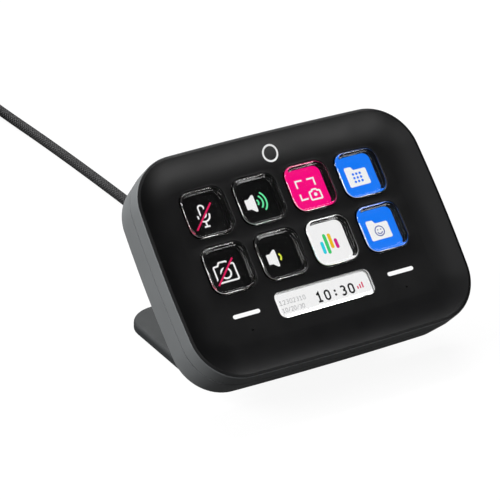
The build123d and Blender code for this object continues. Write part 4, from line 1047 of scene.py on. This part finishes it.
class KEYPANEL_OT_stand(bpy.types.Operator):
    """Adds the foot plate with its leg"""
    bl_idname = "key_panel.stand"
    bl_label = "Stand"

    def execute(self, context):
        case, stand = settings("case"), settings("stand")
        _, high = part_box("stand_foot")
        x, rear = high.x / MM, high.y / MM
        y0, z0 = face_origin()
        c, s = cos(case.tilt), sin(case.tilt)
        foot_top = stand.lift + stand.thick
        back = -case.depth
        leg_back = back - stand.leg_thick

        def at_foot(z):
            """Y where the plane at height z of the face frame meets the foot's top."""
            return y0 + (foot_top - z0) * c / s - z / s

        def on_leg(y, z):
            """Y and Z of a point of the face frame."""
            return y0 + y * c - z * s, z0 + y * s + z * c

        front = at_foot(back) + stand.front_set
        # Plate: the plan shape carried down from the top's flat over its rounded edge to the pad's
        # recess and the ballast's.
        e, pad_depth, ballast_inset, ballast_depth = stand.edge, 0.8, 6.5, 2.0
        t = np.linspace(0, pi / 2, 7)
        insets = np.concatenate(([e + 0.2], e * (1 - np.sin(t)), [0, 0, 0.12, stand.pad_inset,
                                 stand.pad_inset, ballast_inset, ballast_inset]))
        heights = np.concatenate(([foot_top], foot_top - e * (1 - np.cos(t)),
                                  [foot_top - e - 0.2, stand.lift + 0.12, stand.lift, stand.lift,
                                   pad_depth, pad_depth, ballast_depth]))
        i = insets[:, None]
        rounds = np.array([stand.corner, stand.corner, stand.front_corner, stand.front_corner])
        rounds = np.maximum(rounds - i, 0.5)
        plan_x = (x - i) * np.array([1, -1, -1, 1])
        plan_y = np.concatenate((rear - i, rear - i, front + i, front + i), 1)
        grid = raised(soften(np.stack((plan_x, plan_y, rounds), -1), 10, 0.3), heights)
        skin = Skin()
        skin.grid(grid, wrap_v=True)
        skin.flat(grid[0], [], foot_top)
        skin.flat(grid[-1], [], ballast_depth)
        skin.piece("foot_plate", ["foot_plastic"], world=True, replaces=["stand_foot"],
                   slot="foot_abs", crisp=40)
        # Leg: its side view carried across the width, narrowing to the rounded top corners. It
        # starts inside the plate and ends in a short tongue along it.
        sunk, tongue, bend = 1.8, 9.0, 3.0
        heel = front + stand.leg_upright
        elbow = foot_top + (heel - at_foot(leg_back)) * s / c
        side_view = soften([(front, sunk, 0), (front, foot_top + stand.front_set * s / c, 0),
                            (*on_leg(stand.leg_top, back), 0.3),
                            (*on_leg(stand.leg_top, leg_back), 1.0),
                            (heel, elbow, bend), (heel, foot_top, bend),
                            (heel + tongue, foot_top - 0.02, 0), (heel + tongue, sunk, 0)], 8, 0.3)
        # More points up the leg, at most 0.8 mm apart, so that its corners can round.
        loop = np.concatenate([
            np.linspace(a, b, max(2, int(np.hypot(*(b - a)) / 0.8)), endpoint=False)
            for a, b in zip(side_view, np.roll(side_view, -1, 0))])
        up_face = (loop[:, 0] - y0) * c + (loop[:, 1] - z0) * s
        r = stand.leg_corner
        over = np.clip(up_face - (stand.leg_top - r), 0, r)
        half = stand.leg_width / 2 - r + np.sqrt(r ** 2 - over ** 2)
        across = np.array([-1, -0.5, 0, 0.5, 1])
        grid = np.stack(np.broadcast_arrays(half[:, None] * across, loop[:, :1], loop[:, 1:]), -1)
        skin = Skin()
        skin.grid(grid, wrap_u=True)
        for k in (0, -1):
            skin.add(grid[:, k], [np.arange(len(loop))])
        leg = skin.piece("leg", ["foot_plastic"], world=True, slot="foot_abs", crisp=40)
        bevel = leg.modifiers.new("edge", "BEVEL")
        bevel.width, bevel.segments, bevel.harden_normals = 0.4 * MM, 2, True
        bevel.limit_method, bevel.angle_limit = "ANGLE", radians(50)
        coat({"rubber": ["foot_pad"], "zinc_steel": ["foot_ballast"]})
        return {"FINISHED"}


# ---- keys ----
class KEYPANEL_OT_keys(bpy.types.Operator):
    """Adds the eight clear key caps"""
    bl_idname = "key_panel.keys"
    bl_label = "Keys"

    def execute(self, context):
        case, keys = settings("case"), settings("keys")
        top = -case.dish_depth + keys.proud
        flange_top = -case.dish_depth - case.face_thick - keys.flange_gap
        low = flange_top - keys.flange_thick
        side = keys.opening - 2 * keys.gap
        # Side of the cap, as (inset, z): underside, flange, wall, the top edge, which is a quarter
        # of an ellipse, and the ridge, which sinks by a cosine.
        e, f, fine, squat, dip = keys.edge, -keys.flange, 0.1, 0.75, 0.12
        t, ramp = np.linspace(0, pi / 2, 8), np.linspace(0, pi, 7)[1:]
        wall = np.concatenate((
            [(1.0, low), (f + fine, low), (f, low + fine), (f, flange_top - fine),
             (f + fine, flange_top), (-fine, flange_top), (-0.02, flange_top + 0.03),
             (0, flange_top + 0.12), (0, top - squat * e - 0.15)],
            np.column_stack((e * (1 - np.cos(t)), top - squat * e * (1 - np.sin(t)))),
            np.column_stack((np.linspace(e, keys.ridge, 7)[1:], top - dip / 2 * (1 - np.cos(ramp))))))
        # Hollow top: scaled rings inside the ridge, lowered by depth times 1 - share^2.
        share = np.linspace(1, 0, 15)[1:-1]
        drop = dip + (keys.hollow - dip) * (1 - share ** 2)
        rings = rounded_rings(side, side, keys.opening_round - keys.gap, wall[:, 0], 10)
        bowl = raised(rings[-1] * share[:, None, None], top - drop)
        shape = np.concatenate((raised(rings, wall[:, 1]), bowl))
        for number, place_at in enumerate(key_places(), 1):
            middle = np.array([*place_at, 0])
            skin = Skin()
            skin.grid(shape + middle, wrap_v=True)
            skin.fan(shape[-1] + middle, middle + [0, 0, top - keys.hollow])
            skin.fan(shape[0] + middle, middle + [0, 0, low])
            skin.piece(f"clear_cap_{number}", ["key_acrylic"], body=f"key_{number}",
                       replaces=[f"key_cap_{number}"], slot="clear_key", crisp=45)
        coat({"silicone": [f"key_pusher_{k}" for k in KEYS] + ["key_sheet"], "inner_abs": ["key_guide"],
              "printed_film": ["contact_sheet"]})
        return {"FINISHED"}


# ---- pictures ----
def disc(x, y, r, n=36):
    """A filled circle: n points at equal angles round x, y."""
    return ((x, y) + r * circle(n))[None]


def box_shape(x, y, w, h, r):
    """A filled rectangle with rounded corners."""
    return rounded_rings(w, h, r, [0.0], 5, (x, y), 0.0)


def arc_line(x, y, r, start, end, n=24):
    """Part of a circle round x, y from one angle to another, in degrees."""
    t = np.radians(np.linspace(start, end, n))
    return np.stack((x + r * np.cos(t), y + r * np.sin(t)), -1)


def stroke(line, width, closed=False):
    """A line drawn with a width: each point is moved half of it to both sides along the mean normal,
    divided by the cosine of half the turn."""
    line = np.asarray(line, float)
    apart = np.linalg.norm(line - np.roll(line, 1, 0), axis=1) > 1e-3
    line = line[apart] if closed else line[apart | (np.arange(len(line)) == 0)]
    run = np.roll(line, -1, 0) - line
    run /= np.linalg.norm(run, axis=1, keepdims=True)
    before = np.roll(run, 1, 0)
    if not closed:
        run[-1], before[0] = run[-2], run[0]
    mean = run + before
    mean /= np.linalg.norm(mean, axis=1, keepdims=True)
    normal = np.stack((-mean[:, 1], mean[:, 0]), -1)
    side = normal / (mean * run).sum(1, keepdims=True) * width / 2
    left, right = line + side, line - side
    quads = np.stack((right, np.roll(right, -1, 0), np.roll(left, -1, 0), left), 1)
    return quads if closed else quads[:-1]


def microphone():
    """Outline capsule in a cradle, which is half a circle with short arms, on a stem and a foot."""
    line, x, arm = 0.57, -0.17, 2.17
    cradle = np.concatenate(([(x - arm, 0.5)], arc_line(x, 0.22, arm, 180, 360), [(x + arm, 0.5)]))
    return [stroke(box_shape(x, 1.72, 2.08, 4.3, 1.03)[0], line, True), stroke(cradle, line),
            stroke([(x, -1.95), (x, -3.75)], line), stroke([(-1.2, -3.75), (0.86, -3.75)], line)]


def speaker():
    """Filled box with a cone that widens to the right."""
    cone = [(-2.57, -1.85, 0.1), (-0.22, -3.75, 0.5), (-0.22, 3.45, 0.5), (-2.57, 1.65, 0.1)]
    box = [(-4.07, -1.85, 0.3), (-2.3, -1.85, 0.01), (-2.3, 1.65, 0.01), (-4.07, 1.65, 0.3)]
    return [soften(shape, 4, 0.0)[None] for shape in (box, cone)]


def sound(*radii):
    """Waves beside the speaker: arcs of 100 degrees round its cone's mouth."""
    return [stroke(arc_line(-0.25, -0.05, r, -50, 50), 0.58) for r in radii]


def still_camera(x, y, size, width, lens):
    """Outline camera: rounded body with a raised finder, and a ring for its lens or, where the lens
    is small, a dot."""
    body = np.array([(-3.87, 2.25), (-2.1, 2.25), (-1.35, 3.4), (1.35, 3.4), (2.1, 2.25), (3.87, 2.25),
                     (3.87, -3.5), (-3.87, -3.5)])
    rounds = np.array([0.55, 0.3, 0.5, 0.5, 0.3, 0.55, 0.55, 0.55])
    line = soften(np.column_stack((body * size + (x, y), rounds * size)), 3, 0.0)
    eye = stroke(disc(x, y - 0.6, lens)[0], width, True) if lens > 1 else disc(x, y - 0.1, lens)
    return [stroke(line, width, True), eye]


def folder():
    """Filled box with a tab at its upper left, whose right end slopes."""
    tab = [(-3.97, 1.9, 0.1), (-0.2, 1.9, 0.1), (-1.2, 3.77, 0.5), (-3.97, 3.77, 0.6)]
    return [box_shape(0.155, -0.43, 8.25, 5.9, 0.6), soften(tab, 4, 0.0)[None]]


def smile(x, y):
    """Plain smiling face: a ring, an arc and two dots."""
    ring, mouth = disc(x, y, 1.75)[0], arc_line(x, y - 0.07, 0.95, 195, 345)
    eyes = [disc(x + side * 0.62, y + 0.53, 0.24, 16) for side in (-1, 1)]
    return [stroke(ring, 0.34, True), stroke(mouth, 0.34)] + eyes


def key_pictures():
    """What the keys show, left to right and top row first: each tile's colour and its signs, as
    (colour, level, shapes), in millimetres from the key's middle. A slashed sign has a dark gap
    beside its slash."""
    slash = [("black", 2, [stroke([(-4.7, -3.9), (3.55, 4.25)], 1.2)]),
             ("crimson", 3, [stroke([(-4.32, -4.23), (3.93, 3.92)], 0.62)])]
    corners = ([(-3.35, 1.0), (-3.35, 3.47), (-0.7, 3.47)], [(1.1, 3.47), (3.73, 3.47), (3.73, 0.9)],
               [(-3.35, -1.1), (-3.35, -3.25), (-0.7, -3.25)])
    selection = [stroke(line, 0.6) for line in corners] + still_camera(2.4, -2.25, 0.523, 0.6, 0.65)
    dots = [disc(0.12 + i * 1.36, -0.35 + j * 1.37, 0.47, 20)
            for i in (-1, 0, 1) for j in (-1, 0, 1)]
    # Level bars: colour, x, height and middle.
    bars = (("cyan", -2.55, 4.4, -1.0), ("green", -0.75, 7.2, 0.0), ("gold", 1.05, 5.4, 0.7),
            ("magenta", 2.85, 3.6, -0.6))
    return [
        ("black", [("white", 1, microphone())] + slash),
        ("black", [("white", 1, speaker()), ("mint", 1, sound(1.15, 2.75, 4.15))]),
        ("pink", [("white", 1, selection)]),
        ("blue", [("white", 1, folder()), ("blue", 2, dots)]),
        ("black", [("white", 1, still_camera(-0.15, -0.03, 1.0, 0.6, 1.8))] + slash),
        ("black", [("white", 1, speaker()), ("yellow", 1, sound(1.45))]),
        ("white", [(colour, 1, [box_shape(x, y, 1.25, h, 0.62)]) for colour, x, h, y in bars]),
        ("blue", [("white", 1, folder()), ("deep_blue", 2, smile(0.18, -0.38))]),
    ]


def figure_lines(text, height, pitch):
    """Plain figures as (line, closed), pitch apart, each in a box 0.54 as wide as it is high."""
    h, w = height / 2, height * 0.27
    lines = {
        "0": [(soften([(w, h, w), (-w, h, w), (-w, -h, w), (w, -h, w)], 6, 0.0), True)],
        "1": [([(-w, h * 0.55), (0, h), (0, -h)], False), ([(-w, -h), (w, -h)], False)],
        "2": [(np.concatenate((arc_line(0, h - w, w, 170, -30, 14), [(-w, -h), (w, -h)])), False)],
        "3": [(arc_line(-0.1 * w, h - w * 0.98, w * 0.98, 140, -90, 16), False),
              (arc_line(-0.1 * w, -h + w * 1.05, w * 1.05, 90, -140, 16), False)],
        "/": [([(-w, -h), (w, h)], False)],
        ":": [(disc(0, y, height * 0.035, 12)[0], True) for y in (-h * 0.45, h * 0.45)],
    }
    for order, mark in enumerate(text):
        x = (order - (len(text) - 1) / 2) * pitch
        for line, closed in lines[mark]:
            yield np.asarray(line, float) + (x, 0), closed


class Picture(Skin):
    """Flat shapes on a display, a hair above each other."""

    def shapes(self, shapes, z, slot, at=(0, 0)):
        """Adds shapes at height z, turned to run anticlockwise: where the sum of x dy - y dx is below
        zero the order is reversed."""
        for shape in shapes:
            x, y = shape[..., 0], shape[..., 1]
            area = (x * np.roll(y, -1, 1) - np.roll(x, -1, 1) * y).sum(1)
            shape = np.where((area < 0)[:, None, None], shape[:, ::-1], shape)
            n, k = shape.shape[:2]
            points = raised(shape + np.asarray(at), np.full(n, z))
            self.add(points, np.arange(n * k).reshape(n, k), slot)


class KEYPANEL_OT_pictures(bpy.types.Operator):
    """Adds the lit picture tiles behind the keys"""
    bl_idname = "key_panel.pictures"
    bl_label = "Pictures"

    def execute(self, context):
        keys = settings("keys")
        glass = in_face("lcd_panel")[1][2]
        above, step = 0.03, 0.015
        tile_shape = rounded_rings(keys.tile, keys.tile_tall, keys.tile_round, [0.0], 8)
        for number, (middle, (tile, signs)) in enumerate(zip(key_places(), key_pictures()), 1):
            colours = [tile] + sorted({colour for colour, _, _ in signs} - {tile})
            picture = Picture()
            at = np.array(middle) + (keys.tile_right, keys.tile_up)
            picture.shapes([tile_shape], glass + above, 0, at)
            at = np.array(middle) + (keys.sign_right, keys.sign_up)
            for colour, level, shapes in signs:
                picture.shapes(shapes, glass + above + step * level, colours.index(colour), at)
            picture.piece(f"picture_{number}", ["screen_" + c for c in colours], closed=False)
        coat({"panel_glass": ["lcd_panel"], "light_guide": ["lcd_backlight"]})
        return {"FINISHED"}


class KEYPANEL_OT_strip(bpy.types.Operator):
    """Adds the strip display, its window and the mark over the keys"""
    bl_idname = "key_panel.strip"
    bl_label = "Strip display"

    def execute(self, context):
        case, strip = settings("case"), settings("strip")
        top, under = -case.dish_depth, -case.dish_depth - case.face_thick
        z = in_face("strip_display")[1][2]
        field_z, figures_z = z + 0.015, z + 0.03
        colours = ["white", "ink", "grey", "crimson"]
        picture = Picture()
        # The lit field ends inside the opening at the top and right, and reaches under the face
        # at the bottom and left.
        right, up = strip.width / 2 - 0.5, strip.height / 2 - 0.66
        left, down = -strip.width / 2 - 0.3, -strip.height / 2 - 0.1
        field = box_shape((left + right) / 2, (up + down) / 2, right - left, up - down, 1.6)
        picture.shapes([field], field_z, 0, (0, strip.middle))
        # Figures: text, height, pitch, line width, colour and place.
        for text, height, pitch, width, colour, x, y in (
                ("10:30", 3.0, 3.05, 0.62, "ink", 4.4, -0.5),
                ("10/20/30", 1.3, 1.06, 0.2, "grey", -12.0, -1.7),
                ("12302310", 1.4, 1.25, 0.2, "grey", -11.4, 0.9)):
            for line, closed in figure_lines(text, height, pitch):
                picture.shapes([stroke(line, width, closed)], figures_z, colours.index(colour),
                               (x, strip.middle + y))
        # Three small bars, each 0.5 higher and taller by 0.5 than the one before.
        bars = [box_shape((k - 1) * 0.95, 0.25 * k - 0.25, 0.5, 1.0 + 0.5 * k, 0.12)
                for k in range(3)]
        picture.shapes(bars, figures_z, colours.index("crimson"), (13.9, strip.middle - 0.6))
        picture.piece("strip_picture", ["screen_" + c for c in colours], closed=False)
        # Window: the clear block in the opening and its flange behind the face, as (inset, z).
        base, flush = z + 0.06, top - 0.005
        g, flange, fill = strip.gap, -0.6, 2.2
        profile = np.array([(fill, base), (flange + 0.05, base), (flange, base + 0.05),
                            (flange, under - 0.02), (flange + 0.05, under - 0.01),
                            (g + 0.02, under - 0.01), (g, under + 0.03), (g, top - 0.22),
                            (g + 0.05, top - 0.08), (g + 0.2, flush), (fill, flush)])
        rings = rounded_rings(strip.width, strip.height, strip.corner, profile[:, 0], 8,
                              (0, strip.middle))
        points = raised(rings, profile[:, 1])
        skin = Skin()
        skin.grid(points, wrap_v=True)
        skin.flat(points[0], [], base)
        skin.flat(points[-1], [], flush)
        skin.piece("strip_glass", ["window_acrylic"], replaces=["strip_window"], slot="clear_acrylic",
                   crisp=40)
        coat({"bar_light": ["touch_bar_left", "touch_bar_right"], "light_guide": ["strip_display"]})
        # Mark over the keys: a plain printed ring that follows the dish.
        mark_y, inner, outer, ink = 31.7, 2.3, 2.95, 0.02
        rings = np.stack([(0, mark_y) + r * circle(48) for r in (outer, inner)])
        skin = Skin()
        skin.grid(raised(rings, dish_at(rings[..., 0], rings[..., 1]) + ink), wrap_v=True)
        skin.piece("face_mark", ["mark_ink"], closed=False)
        return {"FINISHED"}


class KEYPANEL_OT_insides(bpy.types.Operator):
    """Finishes the boards, tray and films inside the case"""
    bl_idname = "key_panel.insides"
    bl_label = "Insides"

    def execute(self, context):
        coat({"inner_abs": ["tray"], "solder_mask": ["main_board", "touch_board"],
              "chip_epoxy": ["board_chips"], "socket_nylon": ["lead_socket"],
              "ribbon_polyimide": ["lcd_ribbon", "touch_ribbon"], "lamp_ceramic": ["touch_lamps"]})
        return {"FINISHED"}


class KEYPANEL_PT_panel(bpy.types.Panel):
    """Lists the pieces of the key panel"""
    bl_label = "Desk key panel"
    bl_idname = "KEYPANEL_PT_panel"
    bl_space_type = "VIEW_3D"
    bl_region_type = "UI"
    bl_category = "Key Panel"

    def draw(self, context):
        for step in STEPS:
            self.layout.operator(step.bl_idname)


STEPS = (KEYPANEL_OT_stage, KEYPANEL_OT_lead, KEYPANEL_OT_face, KEYPANEL_OT_shells,
         KEYPANEL_OT_stand, KEYPANEL_OT_keys, KEYPANEL_OT_pictures, KEYPANEL_OT_strip,
         KEYPANEL_OT_insides)
CLASSES = (KeyPanelCase, KeyPanelKeys, KeyPanelStrip, KeyPanelStand, KeyPanelLead, KeyPanelFinish,
           KeyPanelSettings, *STEPS, KEYPANEL_PT_panel)


def register():
    """Registers the classes and gives the scene its settings."""
    for cls in CLASSES:
        bpy.utils.register_class(cls)
    bpy.types.Scene.key_panel = bpy.props.PointerProperty(type=KeyPanelSettings)


def unregister():
    """Takes the settings and the classes out again."""
    del bpy.types.Scene.key_panel
    for cls in reversed(CLASSES):
        bpy.utils.unregister_class(cls)


def main():
    """Registers the add-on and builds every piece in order."""
    register()
    for step in STEPS:
        group, name = step.bl_idname.split(".")
        getattr(getattr(bpy.ops, group), name)()


if __name__ == "__main__":
    main()
